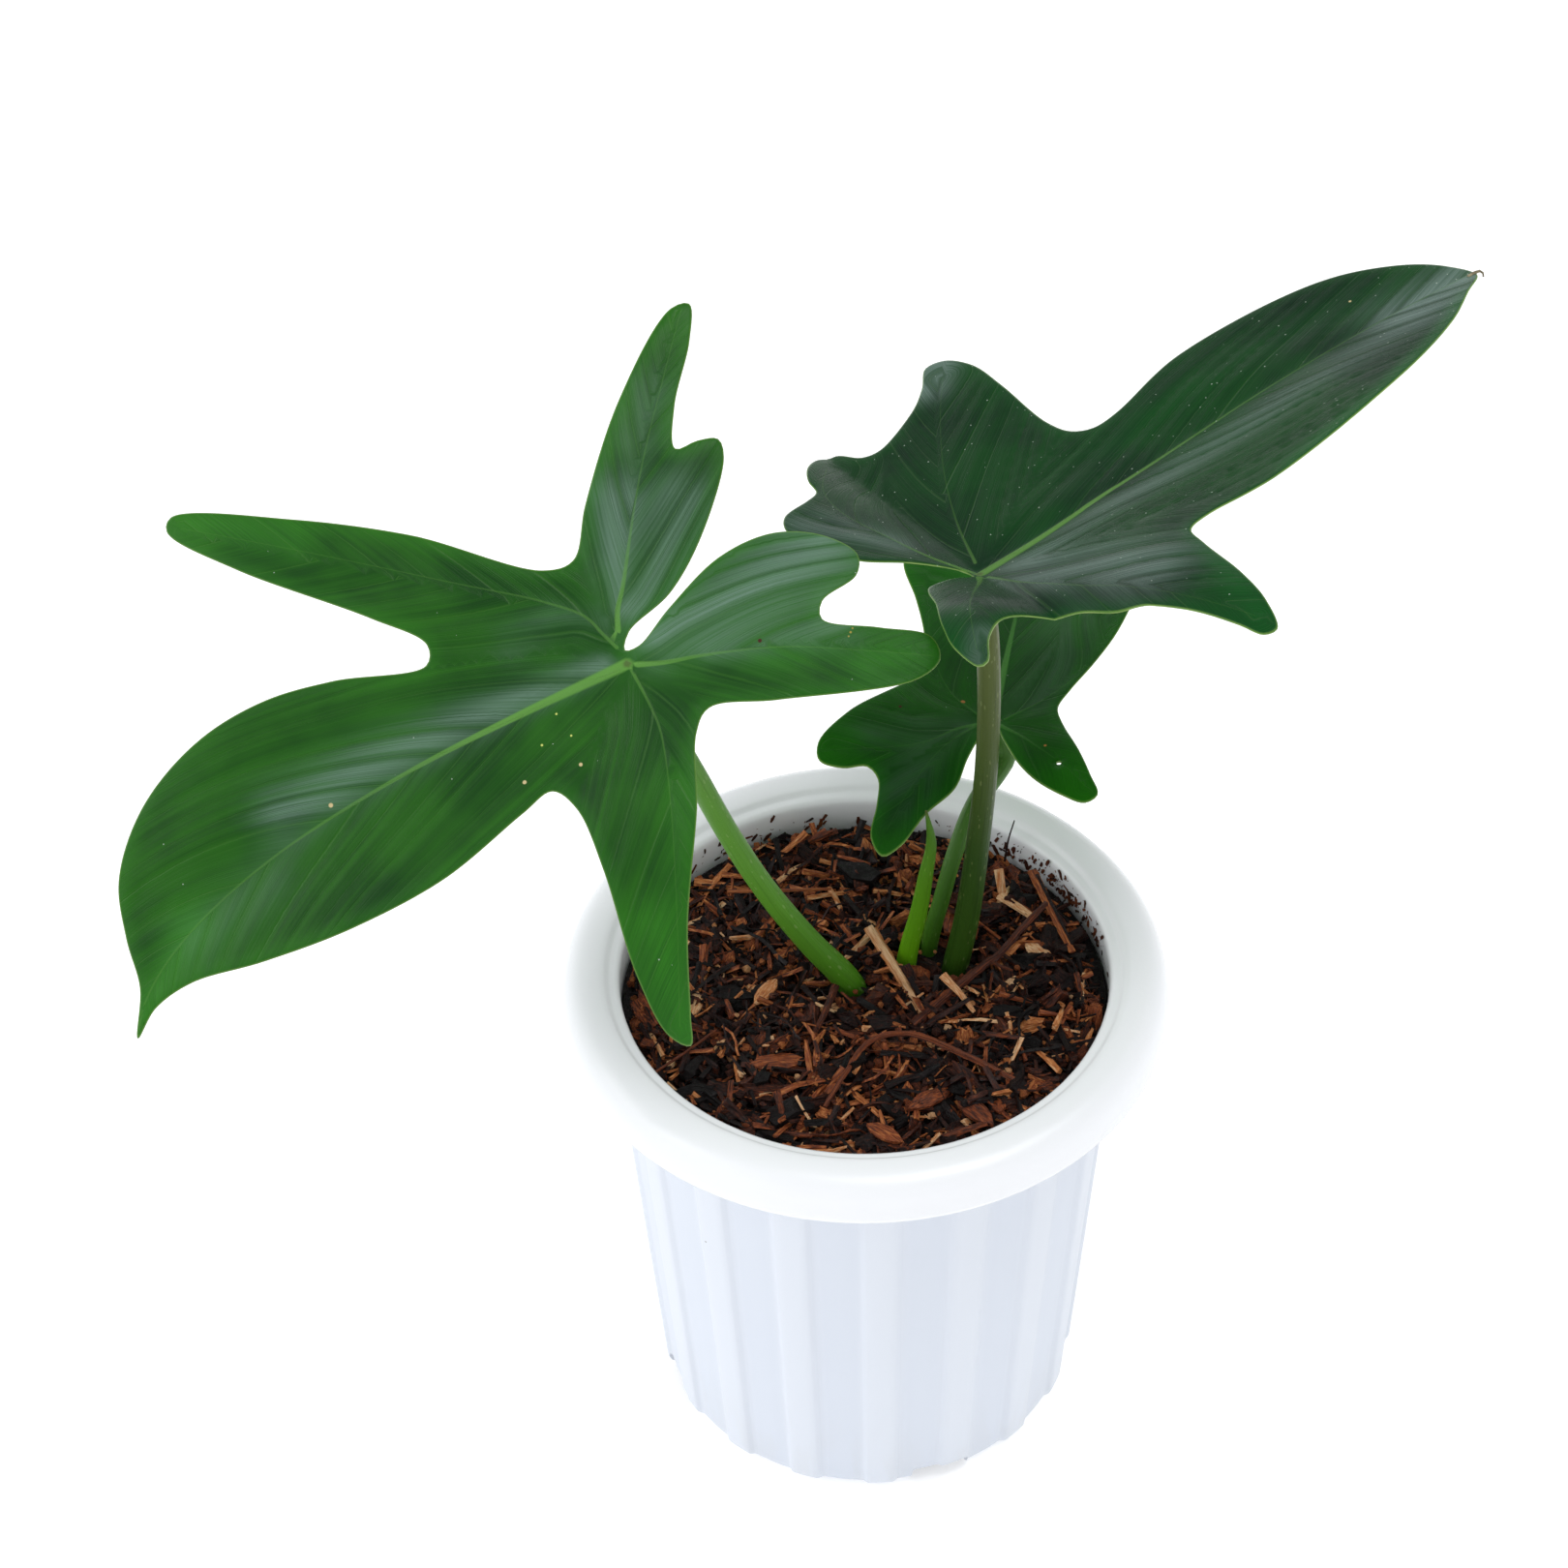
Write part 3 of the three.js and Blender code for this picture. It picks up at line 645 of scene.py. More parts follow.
def shape_husk(bm, draw):
    bmesh.ops.create_grid(bm, x_segments=5, y_segments=3, size=0.5)
    bend = draw.uniform(0.15, 0.5)
    curl = draw.uniform(0.5, 1.1)
    for vert in bm.verts:
        x, y = vert.co.x, vert.co.y
        y *= draw.uniform(0.36, 0.44) * max(1 - (2 * x) ** 2, 0.02) ** 0.6
        vert.co = Vector((x, y, -curl * y * y - bend * x * x))
    made = bmesh.ops.extrude_face_region(bm, geom=bm.faces[:], use_keep_orig=True)
    under = [g for g in made["geom"] if isinstance(g, bmesh.types.BMVert)]
    bmesh.ops.translate(bm, vec=(0, 0, -0.07), verts=under)
    jitter(bm, draw, 0.012)


def shape_sliver(bm, draw):
    add_rod(bm, 4, 0.075, 0.04, 2)
    bow = draw.uniform(-0.25, 0.25)
    for vert in bm.verts:
        vert.co.z = vert.co.z * 0.6 + bow * (0.25 - vert.co.x ** 2)
    jitter(bm, draw, 0.02)


def shape_crumb(bm, draw):
    bmesh.ops.create_icosphere(bm, subdivisions=1, radius=0.5)
    jitter(bm, draw, 0.12)


def shape_fibre(bm, draw):
    add_rod(bm, 3, 0.022, 0.012, 7)
    sweep = draw.uniform(0.1, 0.5)
    wave = draw.uniform(0.02, 0.08)
    for vert in bm.verts:
        x = vert.co.x
        vert.co.y += sweep * (0.25 - x * x) + wave * math.sin(x * 9)
        vert.co.z += wave * math.cos(x * 7)


def new_pattern(kind, shape, draw):
    bm = bmesh.new()
    shape(bm, draw)
    grain = add_bark_layers(bm)[1]
    for vert in bm.verts:
        vert[grain] = vert.co.copy()
    bmesh.ops.recalc_face_normals(bm, faces=bm.faces[:])
    return mesh_from(bm, kind)


draw = random.Random(7)
kinds = {"chunk": (shape_chunk, 7), "husk": (shape_husk, 6), "sliver": (shape_sliver, 6),
         "crumb": (shape_crumb, 4), "fibre": (shape_fibre, 5)}
patterns = {kind: [new_pattern(kind, shape, draw) for _ in range(count)]
            for kind, (shape, count) in kinds.items()}
print("patterns:", {kind: len(made[0].polygons) for kind, made in patterns.items()}, "faces each")

# %% [markdown]
# The pieces are strewn with a seeded draw, so that each run gives the same pot.
# Small crumbs fill the bottom, chunks and slivers lie over them, and a few large husks lie on top.
# A piece keeps clear of the stalks and of the wall, and near the wall it lies along it as it would settle.

# %% Strew the loose pieces
stalk_feet = [(-3.1, 0.9, 3.4), (19.9, 6.8, 3.3), (14.3, 12.3, 2.4), (9.1, 6.3, 2.6)]
wall_gap = 0.9
batch_size = 60


def new_heap():
    bm = bmesh.new()
    add_bark_layers(bm)
    return bm


def stamp(bm, pattern, place, tone, grain_shift):
    count = len(bm.verts)
    bm.from_mesh(pattern)
    bm.verts.ensure_lookup_table()
    fresh = bm.verts[count:]
    tones = bm.verts.layers.float["Tone"]
    grains = bm.verts.layers.float_vector["Grain"]
    for vert in fresh:
        vert[tones] = tone
        vert[grains] = vert[grains] + grain_shift
    bmesh.ops.transform(bm, matrix=place, verts=fresh)


def pour(heap, batch):
    """adds a small batch to the heap; stamping straight into a large heap is slow"""
    mesh = mesh_from(batch, "batch")
    heap.from_mesh(mesh)
    bpy.data.meshes.remove(mesh)


def strew(heap, draw, kind, count, small, large, depth, tones, tilt):
    placed = 0
    batch = new_heap()
    while placed < count:
        size = small + (large - small) * draw.random() ** 2
        angle = draw.uniform(0, math.tau)
        room = mouth_radius - wall_gap - size * (0.5 if kind == "crumb" else 0.32)
        away = room * math.sqrt(draw.random())
        x, y = away * math.cos(angle), away * math.sin(angle)
        if any(math.hypot(x - fx, y - fy) < fr + size * 0.42 for fx, fy, fr in stalk_feet):
            continue
        yaw = draw.uniform(0, math.tau)
        if away + size * 0.5 > mouth_radius - wall_gap:
            yaw = angle + math.pi / 2 + draw.uniform(-0.25, 0.25)
        z = medium_surface(x, y) + draw.uniform(*depth)
        place = (Matrix.Translation(Vector((x, y, z)) * MM)
                 @ Matrix.Rotation(yaw, 4, "Z")
                 @ Matrix.Rotation(draw.gauss(0, tilt), 4, "Y")
                 @ Matrix.Rotation(draw.gauss(0, tilt * 1.5), 4, "X")
                 @ Matrix.Scale(size * MM, 4))
        shift = Vector([draw.uniform(0, 50) for _ in range(3)])
        tone = draw.choice(tones) + draw.uniform(-0.07, 0.07)
        stamp(batch, draw.choice(patterns[kind]), place, tone, shift)
        placed += 1
        if placed % batch_size == 0:
            pour(heap, batch)
            batch = new_heap()
    pour(heap, batch)


# tones from 0, nearly black, to 1, pale tan
dark = [0.05, 0.12, 0.20, 0.28, 0.36]
mid = [0.22, 0.34, 0.42, 0.5, 0.56, 0.64, 0.7]
warm = [0.4, 0.55, 0.65, 0.72, 0.8, 0.92]
# kind, count, smallest and largest length, lowest and highest place over the mix in mm, tones, tilt in radians
# painted shade: the lower pieces get no warm tones, so the mix is painted darker deeper down between the
# pieces
heaps = {
    "bark_lower_pieces": [("crumb", 1100, 1.0, 3.6, (-2.2, -0.2), dark * 2 + mid, 0.6),
                          ("chunk", 620, 3.0, 7.0, (-2.0, -0.4), dark * 2 + mid, 0.35),
                          ("sliver", 900, 4.0, 13.0, (-1.6, -0.1), dark + mid, 0.22)],
    "bark_upper_pieces": [("chunk", 330, 3.0, 9.0, (-0.9, 0.5), mid + dark * 2, 0.45),
                          ("husk", 240, 4.0, 9.0, (-0.4, 0.9), dark + mid + warm, 0.5),
                          ("sliver", 1300, 3.0, 15.0, (-0.4, 1.1), dark * 2 + mid + warm, 0.32),
                          ("fibre", 190, 8.0, 24.0, (0.0, 1.2), dark + mid, 0.12),
                          ("crumb", 900, 0.6, 2.2, (-0.2, 1.1), dark + mid + warm, 0.6)],
}
draw = random.Random(2026)
for name, rows in heaps.items():
    heap = new_heap()
    for row in rows:
        strew(heap, draw, *row)
    finish_piece(heap, name, [bark_finish], [], smooth=False)

# %% [markdown]
# A few pieces catch the eye: a split tan stick, a dark forked twig, a red fibre, some husks and charcoal.
# A random draw would never lay them where the photograph shows them, so each is laid one by one.
# A stick is a closed cone whose rings are moved onto a path, which keeps it a single closed skin.

# %% Sticks laid one by one


def lay_stick(heap, draw, path, thick, thin, tone, sides=7, squash=0.7, rough=0.1):
    line = open_curve(path, min(1.5, thick * 1.6))
    last = len(line) - 1
    bm = bmesh.new()
    tones, grains = add_bark_layers(bm)
    add_rod(bm, sides, 1.0, 1.0, last - 1)
    shift = Vector([draw.uniform(0, 50) for _ in range(3)])
    for vert in bm.verts:
        share = vert.co.x + 0.5
        ring = round(share * last)
        tangent = (line[min(ring + 1, last)] - line[max(ring - 1, 0)]).normalized()
        sideways = tangent.cross(Vector((0, 0, 1))).normalized()
        upward = sideways.cross(tangent)
        radius = (thick + (thin - thick) * share) * (1 + draw.uniform(-rough, rough))
        vert[tones] = tone
        vert[grains] = Vector((share * 1.5, vert.co.y * 0.12, vert.co.z * 0.12)) + shift
        vert.co = (line[ring] + sideways * vert.co.y * radius + upward * vert.co.z * radius * squash) * MM
    bmesh.ops.recalc_face_normals(bm, faces=bm.faces[:])
    pour(heap, bm)


split_stick = [(1.5, 10.9, 119.6), (7.2, 0.7, 116.0), (12.4, -10.0, 113.4)]
forked_twig = [(39.6, 17.3, 119.6), (33.9, 10.7, 118.4), (28.6, 4.2, 117.0), (26.7, 3.0, 116.6),
               (18.8, -3.4, 114.8), (9.7, -12.2, 113.2)]
twig_fork = [(26.7, 3.0, 116.6), (29.3, 0.7, 117.3), (31.5, -0.6, 117.4)]
orange_strip = [(37.3, 30.9, 116.0), (41.2, 18.7, 115.2), (44.8, 7.6, 114.2)]
dark_strip = [(38.3, 29.5, 116.2), (41.8, 18.6, 115.6), (44.9, 9.5, 114.6)]
pale_strip = [(30.0, 24.1, 115.4), (33.8, 20.1, 115.6), (37.0, 17.2, 115.0)]
red_fibre = [(-9.3, -35.5, 113.8), (-4.8, -28.0, 115.8), (0.7, -19.9, 117.0), (8.6, -18.2, 117.2),
             (20.6, -24.0, 116.2), (30.5, -29.1, 113.6)]
left_fibre = [(-44.7, -24.8, 114.0), (-38.2, -19.9, 114.8), (-31.7, -13.2, 114.4)]
upright_hair = [(33.8, 39.3, 123.2), (32.5, 38.1, 118.6), (31.7, 37.1, 113.0)]
tan_chip = [(16.5, -1.5, 117.4), (20.5, -5.5, 115.2), (23.0, -9.0, 113.6)]
brown_chip = [(-6.0, -1.5, 115.5), (-9.5, -11.5, 114.6), (-12.5, -17.0, 113.4)]
back_stick = [(-29.0, 27.0, 115.6), (-18.0, 25.5, 117.0), (-6.5, 27.5, 115.2)]

draw = random.Random(515)
heap = new_heap()
for shift_x, shift_z, tone in ((-0.7, 0.0, 0.86), (0.0, 0.5, 0.98), (0.8, -0.2, 0.78)):
    path = [(x + shift_x * (1 - 0.3 * i), y, z + shift_z) for i, (x, y, z) in enumerate(split_stick)]
    lay_stick(heap, draw, path, 0.75, 0.6, tone, sides=6, rough=0.2)
# path, first and last radius in mm, tone, sides, flattening, roughness
for path, thick, thin, tone, sides, squash, rough in [
        (forked_twig, 0.62, 1.2, 0.46, 8, 1.0, 0.14), (twig_fork, 0.6, 0.25, 0.48, 7, 0.7, 0.1),
        (orange_strip, 1.2, 0.8, 0.66, 7, 0.35, 0.1), (dark_strip, 0.4, 0.3, 0.24, 7, 0.5, 0.1),
        (pale_strip, 1.3, 0.9, 0.96, 7, 0.4, 0.1), (red_fibre, 0.55, 0.95, 0.54, 6, 0.8, 0.16),
        (left_fibre, 0.35, 0.3, 0.52, 7, 0.7, 0.1), (upright_hair, 0.16, 0.3, 0.30, 7, 0.7, 0.1),
        (tan_chip, 1.1, 0.5, 0.9, 7, 0.5, 0.1), (brown_chip, 0.9, 0.6, 0.44, 7, 0.7, 0.1),
        (back_stick, 0.5, 0.4, 0.66, 7, 0.7, 0.1)]:
    lay_stick(heap, draw, path, thick, thin, tone, sides, squash, rough)
print("sticks and fibres laid:", len(heap.faces), "faces")

# %% [markdown]
# The husks and the charcoal are patterns that are set down at a spot, with a turn, a size and a tone.
# Crumbs of damp dust cling to the inside of the pot's wall, mostly at the back. They are small chunks too,
# pressed flat against the wall, each with its long side at a slant of its own.

# %% Husks, charcoal and dust on the wall
# kind, which pattern, spot in mm, turn in degrees, length in mm, tone
laid_patterns = [
    ("husk", 0, (-18.9, -22.9, 115.0), 4, 11.5, 0.58), ("husk", 1, (22.0, -37.9, 114.8), -48, 10.5, 0.52),
    ("husk", 2, (-21.1, -2.2, 115.0), 55, 8.5, 0.84), ("husk", 3, (12.5, -34.0, 114.8), 28, 10.0, 0.54),
    ("husk", 4, (3.0, -43.0, 114.2), -38, 9.0, 0.60), ("husk", 5, (-36.5, -5.0, 114.2), 76, 8.0, 0.95),
    ("chunk", 0, (-15.9, -36.5, 113.0), 20, 9.5, 0.10), ("chunk", 1, (-0.8, 33.1, 113.8), -30, 9.0, 0.03),
    ("chunk", 2, (-11.5, 21.5, 113.6), 60, 6.5, 0.04), ("chunk", 3, (30.0, -9.0, 113.2), 10, 6.0, 0.06),
]
wall_inside = 52.03
dust_count = 330
dust_bottom = 111.2
dust_top = 117.2


def lay_pattern(heap, kind, number, place, tone, shift):
    batch = new_heap()
    stamp(batch, patterns[kind][number], place, tone, shift)
    pour(heap, batch)


for kind, number, spot, yaw, size, tone in laid_patterns:
    place = (Matrix.Translation(Vector(spot) * MM) @ Matrix.Rotation(math.radians(yaw), 4, "Z")
             @ Matrix.Scale(size * MM, 4))
    lay_pattern(heap, kind, number, place, tone, Vector((draw.uniform(0, 50), 0, 0)))
for _ in range(dust_count):
    angle = math.radians(draw.choice([draw.gauss(36, 16)] * 5 + [draw.uniform(98, 150)]))
    height = dust_bottom + draw.expovariate(0.3)
    if height < dust_top:
        inward = Vector((-math.cos(angle), -math.sin(angle), 0))
        lean = draw.gauss(math.radians(60), 0.5)
        long_way = Vector((-inward.y, inward.x, 0)) * math.cos(lean) + Vector((0, 0, 1)) * math.sin(lean)
        size = 0.25 + 1.6 * draw.random() ** 3
        place = (Matrix.Translation((inward * -wall_inside + Vector((0, 0, height))) * MM)
                 @ axes_matrix(long_way, inward.cross(long_way), inward)
                 @ Matrix.Diagonal((size * 1.5 * MM, size * MM, size * 0.5 * MM, 1)))
        lay_pattern(heap, "chunk", draw.randrange(7), place, draw.uniform(0.36, 0.66), Vector())
finish_piece(heap, "bark_marked_pieces", [bark_finish], [], smooth=False)

# %% [markdown]
# A leaf blade is a thin skin with stout ribs, a pale rim and pillows of tissue between its side veins.
# A flat sheet cut to shape would look like paper, so the sheet is dense enough to carry that relief.
# Its points are strewn inside the outline and along the ribs, and a Delaunay net joins them,
# because a grid cut by the outline would leave ragged slivers at every lobe.

# %% Leaf outlines and ribs
leaves = {
    "left": dict(
        knot=(-46.4, -14.1, 220), along=(-0.817, -0.428, -0.386), normal=(-0.09, -0.567, 0.819),
        crease=0.10, arch=(30, 0.001), basal_rise=(0, 18), basal_droop=(12, 0.003),
        lobe_droops=[(1, 22, 0.009, -5, 20), (-1, 25, 0.0025, -90, -60)],
        midrib=[(0, 0), (25, -5), (49, -9), (77, -11.5), (96, -10.6), (108, -8), (116, -4.4), (121, 0)],
        side_ribs=[
            [(-2.3, -6.3), (-4.6, -9.6), (-8.4, -13), (-18, -22.8), (-25.5, -30.1), (-40, -42.9),
             (-51, -52.6)],
            [(-1.5, 1.4), (-5.9, 4.3), (-12.4, 7.6), (-26.3, 16.1), (-39.2, 26.8), (-48.6, 35)],
            [(-0.2, -3.7), (0.4, -7.3), (1.2, -12.5), (6.2, -20), (18, -33.5), (38, -57), (55, -77)],
            [(0.1, 1.4), (1.5, 10.3), (3, 15.8), (10, 29), (22, 47), (34, 63)],
        ],
        outline=[(-1.2, -2.5), (-4, -5), (-15, -6.4), (-27, -12), (-39.8, -22.4), (-41, -26), (-37.5, -28),
                 (-33, -29.2), (-38, -36.5), (-48.4, -46.1), (-53, -52.8), (-49.5, -54), (-30, -44),
                 (-12, -30.5), (-3.5, -23), (2.4, -24.9), (19.3, -46.7), (36, -64), (55.5, -80.5),
                 (57.8, -78.5), (50.9, -62.5), (35.3, -37.8), (29.5, -26.5), (32, -23.4), (48.7, -32.4),
                 (62, -37.4), (78, -39), (94, -35.4), (106, -27), (111.5, -17), (115, -7.5), (121.2, 0.2),
                 (115, -2.2), (106, -1.6), (92, 4.2), (74, 10.2), (54, 13.6), (34, 12.2), (26.8, 12.1),
                 (25, 18), (28, 31.5), (35, 51.5), (36.8, 63), (34.5, 66.8), (31, 62.5), (21, 49),
                 (6.3, 32.6), (-2.6, 20), (-7.5, 17.4), (-19, 24.2), (-43, 37.2), (-49.5, 36.4),
                 (-50.8, 31.5), (-43.8, 24.1), (-35.8, 16), (-38, 12.9), (-46.5, 12.5), (-49.3, 9),
                 (-46, 1.6), (-38.5, -4.2), (-27, -6.4), (-13, -4.1), (-4, -1.6)]),
    "right": dict(
        knot=(23.6, 8, 222), along=(0.828, 0.514, 0.222), normal=(-0.35, 0.165, 0.922),
        crease=0.12, arch=(45, 0.0006), basal_rise=(14, 18), basal_droop=(90, 0),
        lobe_droops=[(-1, 20, 0.02, 12, -2), (-1, 35, 0.0055, -2, 12)],
        midrib=[(0, 0), (14, -0.6), (31, 0), (45, 0), (80, 1), (105, 0.8), (124, 0)],
        side_ribs=[
            [(-1, -2), (-3, -7), (-7, -14), (-12, -23), (-15.5, -30), (-18.5, -36)],
            [(-1.5, 2), (-5, 9), (-8, 20), (-10.5, 33), (-9, 44), (-3, 55)],
            [(0.5, -3), (3, -14), (9, -31), (16, -50), (23.5, -70)],
            [(1.5, 4), (6, 18), (14, 36), (24, 53), (31, 63)],
        ],
        outline=[(-2, -1.6), (-7, -3.2), (-12.5, -5.8), (-14, -8.5), (-16.5, -17.5), (-20.5, -28),
                 (-22, -34), (-20.8, -39.2), (-18.5, -39), (-14.5, -34), (-9, -30), (-3, -30), (3.5, -34),
                 (8.5, -45), (16, -59), (20, -69.5), (21.8, -74.6), (24.5, -75.2), (27.5, -68), (29, -58),
                 (30, -43), (31.6, -35.6), (37, -34), (52, -35.8), (70, -34), (90, -27), (107, -16.5),
                 (118, -7), (124, -1), (122, 6), (116, 13.6), (103.5, 22.5), (88.8, 26.5), (66.8, 25.5),
                 (48, 20.4), (42, 20.7), (38.5, 24), (37, 31), (37.8, 50), (37.5, 62), (34.5, 68.2),
                 (30.5, 69.3), (26, 63.8), (20, 58.5), (9, 53.6), (5, 55), (1.6, 60.5), (-1.5, 60.5),
                 (-6, 56.5), (-9.3, 50), (-10.6, 44), (-14, 41.3), (-20.5, 38.3), (-23, 33), (-21.5, 23),
                 (-17, 13), (-9, 7), (-2, 1.5)]),
    "back": dict(
        knot=(28.4, 35.5, 156.5), along=(0.174, 0.978, -0.118), normal=(0, 0.12, 0.993),
        crease=0.12, arch=(25, 0.0012), basal_rise=(0, 18), basal_droop=(4, 0.01), lobe_droops=[],
        midrib=[(0, 0), (40, 0), (99, 0)],
        side_ribs=[
            [(-1, -1.5), (-4, -5.5), (-9.5, -11.5), (-15, -17.5), (-20, -22)],
            [(-1, 1.5), (-3.5, 6), (-11, 14), (-17, 31)],
            [(-2, 3), (-11, 9), (-22, 14), (-33, 18)],
            [(1, -2.5), (8, -10), (22, -19), (38, -23)],
            [(1, 2.5), (8, 10), (22, 16), (38, 19)],
        ],
        outline=[(-1.6, -1), (-6, -3), (-13.5, -7.2), (-18.5, -11.8), (-22.2, -17.8), (-23.8, -22.5),
                 (-22, -24.9), (-17, -22.8), (-10, -19.6), (-1.3, -15.4), (5, -13.4), (11.5, -15.2),
                 (21.5, -19.2), (31.4, -22.5), (41.8, -24.6), (54, -26), (66, -24), (80, -17), (91, -8.5),
                 (99, -0.5), (91, 9), (80, 18.5), (66, 25.5), (54, 26.8), (41, 22.3), (28, 18.6),
                 (17.7, 17.1), (8.9, 19.8), (-5, 30), (-16, 35), (-20.3, 34), (-21, 29), (-19.6, 24),
                 (-22, 21.4), (-28, 20.8), (-34.5, 21.1), (-37.6, 18.3), (-35, 14.6), (-28, 10.4),
                 (-21, 5.2), (-13, 3.6), (-6.5, 2.1), (-1.5, 0.9)]),
}
print("leaves:", {name: len(leaf["outline"]) for name, leaf in leaves.items()}, "outline points")

# %% [markdown]
# The blade's broad form repeats the CAD solid's: a crease at the midrib, an arch and drooping lobes.
# Over it lies what the solid leaves out: each rib's hump, the gutter beside it and the side veins' furrows.
# The side veins leave a rib at a slant and bow towards its tip. One number says on which vein a point lies:
# how far along the rib its vein left it. The same number later draws the veins in the material.

# %% Form of a blade
rib_start = 1.05
rib_end = 0.2
hump_height = 0.34
keel_depth = 0.95
gutter_depth = 0.7
gutter_reach = 3.2
vein_spacing = 15.0
small_vein_spacing = 4.25
vein_slant = 1.9
vein_bow = 0.05
pillow_height = 0.42
small_pillow_height = 0.06
rim_drop = 0.16
rim_drop_reach = 0.55


def rib_width(share, strength):
    """half the width of a rib, in mm, at a share of its length from the knot"""
    return strength * (rib_start * (1 - share) ** 3 + rib_end)


def rib_strength(number):
    return 1.0 if number == 0 else 0.5 if number < 3 else 0.3


def distance_to_line(points, line):
    """distance of each point to the line, how far along it, and on which side, in mm"""
    best = np.full(len(points), 1e9)
    along = np.zeros(len(points))
    side = np.ones(len(points))
    done = 0.0
    for a, b in zip(line[:-1], line[1:]):
        step = b - a
        length = math.hypot(*step)
        t = np.clip(((points - a) @ step) / length ** 2, 0, 1)
        off = points - (a + t[:, None] * step)
        far = np.hypot(off[:, 0], off[:, 1])
        closer = far < best
        best = np.where(closer, far, best)
        along = np.where(closer, done + t * length, along)
        side = np.where(closer, np.sign(step[0] * off[:, 1] - step[1] * off[:, 0]), side)
        done += length
    return best, along, side, done


def distance_to_edge(points, outline):
    return distance_to_line(points, np.vstack([outline, outline[:1]]))[0]


def smooth_step(value, low, high):
    t = np.clip((value - low) / (high - low), 0, 1)
    return t * t * (3 - 2 * t)


def furrow_shape(vein, spacing):
    """0 in the middle of a vein's furrow and 1 halfway to the next one"""
    phase = vein / spacing
    return np.abs(phase - np.round(phase)) * 2


def broad_height(points, leaf):
    u, v = points[:, 0], points[:, 1]
    rib_u, rib_v = np.array(leaf["midrib"], float).T
    middle = np.where(u < 0, 0.0, np.interp(u, rib_u, rib_v))
    height = leaf["crease"] * (np.hypot(v - middle, 2.5) - 2.5)
    lift, reach = leaf["basal_rise"]
    height += lift * (1 - np.exp(np.minimum(u, 0) / reach))
    start, rate = leaf["arch"]
    height -= rate * np.maximum(0, u - start) ** 2
    start, rate = leaf["basal_droop"]
    height -= rate * np.maximum(0, -u - start) ** 2
    for side, start, rate, low, high in leaf["lobe_droops"]:
        height -= rate * np.maximum(0, side * v - start) ** 2 * smooth_step(u, low, high)
    return height


def blade_relief(points, ribs, outline):
    """relief above the broad form, keel below, and what the material needs to know of each point"""
    rows = []
    for number, line in enumerate(ribs):
        far, along, side, length = distance_to_line(points, line)
        strength = rib_strength(number)
        width = rib_width(along / length, strength)
        shape = np.clip(1 - (far / width) ** 2, 0, 1)
        gutter = strength * np.exp(-far / gutter_reach) * (1 - 0.5 * along / length)
        left_at = along - (vein_slant * far + vein_bow * far ** 2)
        left_at += np.where(side > 0, vein_spacing * 0.5, 0.0) + 200.0
        vein = left_at + 3.6 * np.sin(left_at / 9.7) + 1.2 * np.sin(left_at / 4.1 + number)
        hump = shape * width * hump_height
        keel = np.sqrt(shape) * width * keel_depth
        rows.append((far, hump, keel, gutter, vein, width))
    far, hump, keel, gutter, vein, width = (np.array(kind) for kind in zip(*rows))
    nearest = np.argmin(far, axis=0), np.arange(len(points))
    reach, next_reach = np.sort(far, axis=0)[:2]
    calm = smooth_step(next_reach - reach, 0.3, 2.5)
    edge = distance_to_edge(points, outline)
    vein = vein[nearest]
    fade = calm * smooth_step(reach, 0.6, 5.0) * smooth_step(edge, 0.3, 5.0)
    relief = hump.max(axis=0) - gutter_depth * gutter.max(axis=0)
    relief += (np.sqrt(furrow_shape(vein, vein_spacing)) - 0.7) * pillow_height * fade
    relief += (furrow_shape(vein, small_vein_spacing) - 0.5) * small_pillow_height * fade
    slow_waves = np.sin(points[:, 0] / 9.0 + 1.3 * np.sin(points[:, 1] / 13.0))
    relief += 0.5 * slow_waves * smooth_step(reach, 2, 14)
    relief -= rim_drop * (1 - np.clip(edge / rim_drop_reach, 0, 1)) ** 2
    return relief, keel.max(axis=0), vein, reach, width[nearest], edge, calm


print("veins every", vein_spacing, "mm, small veins every", small_vein_spacing, "mm")

# %% [markdown]
# Grey sheen is painted into the leaf's colour in strokes: beside the midrib, along the lobes and on the tips.
# It is painted reflection, because the lamps alone don't put the sheen where these leaves show it.
# Each stroke is a line on the flat leaf with a width at either end and a strength.
# Other strokes, on the tips and along the rims, mark where the leaf is still a fresh yellow green.

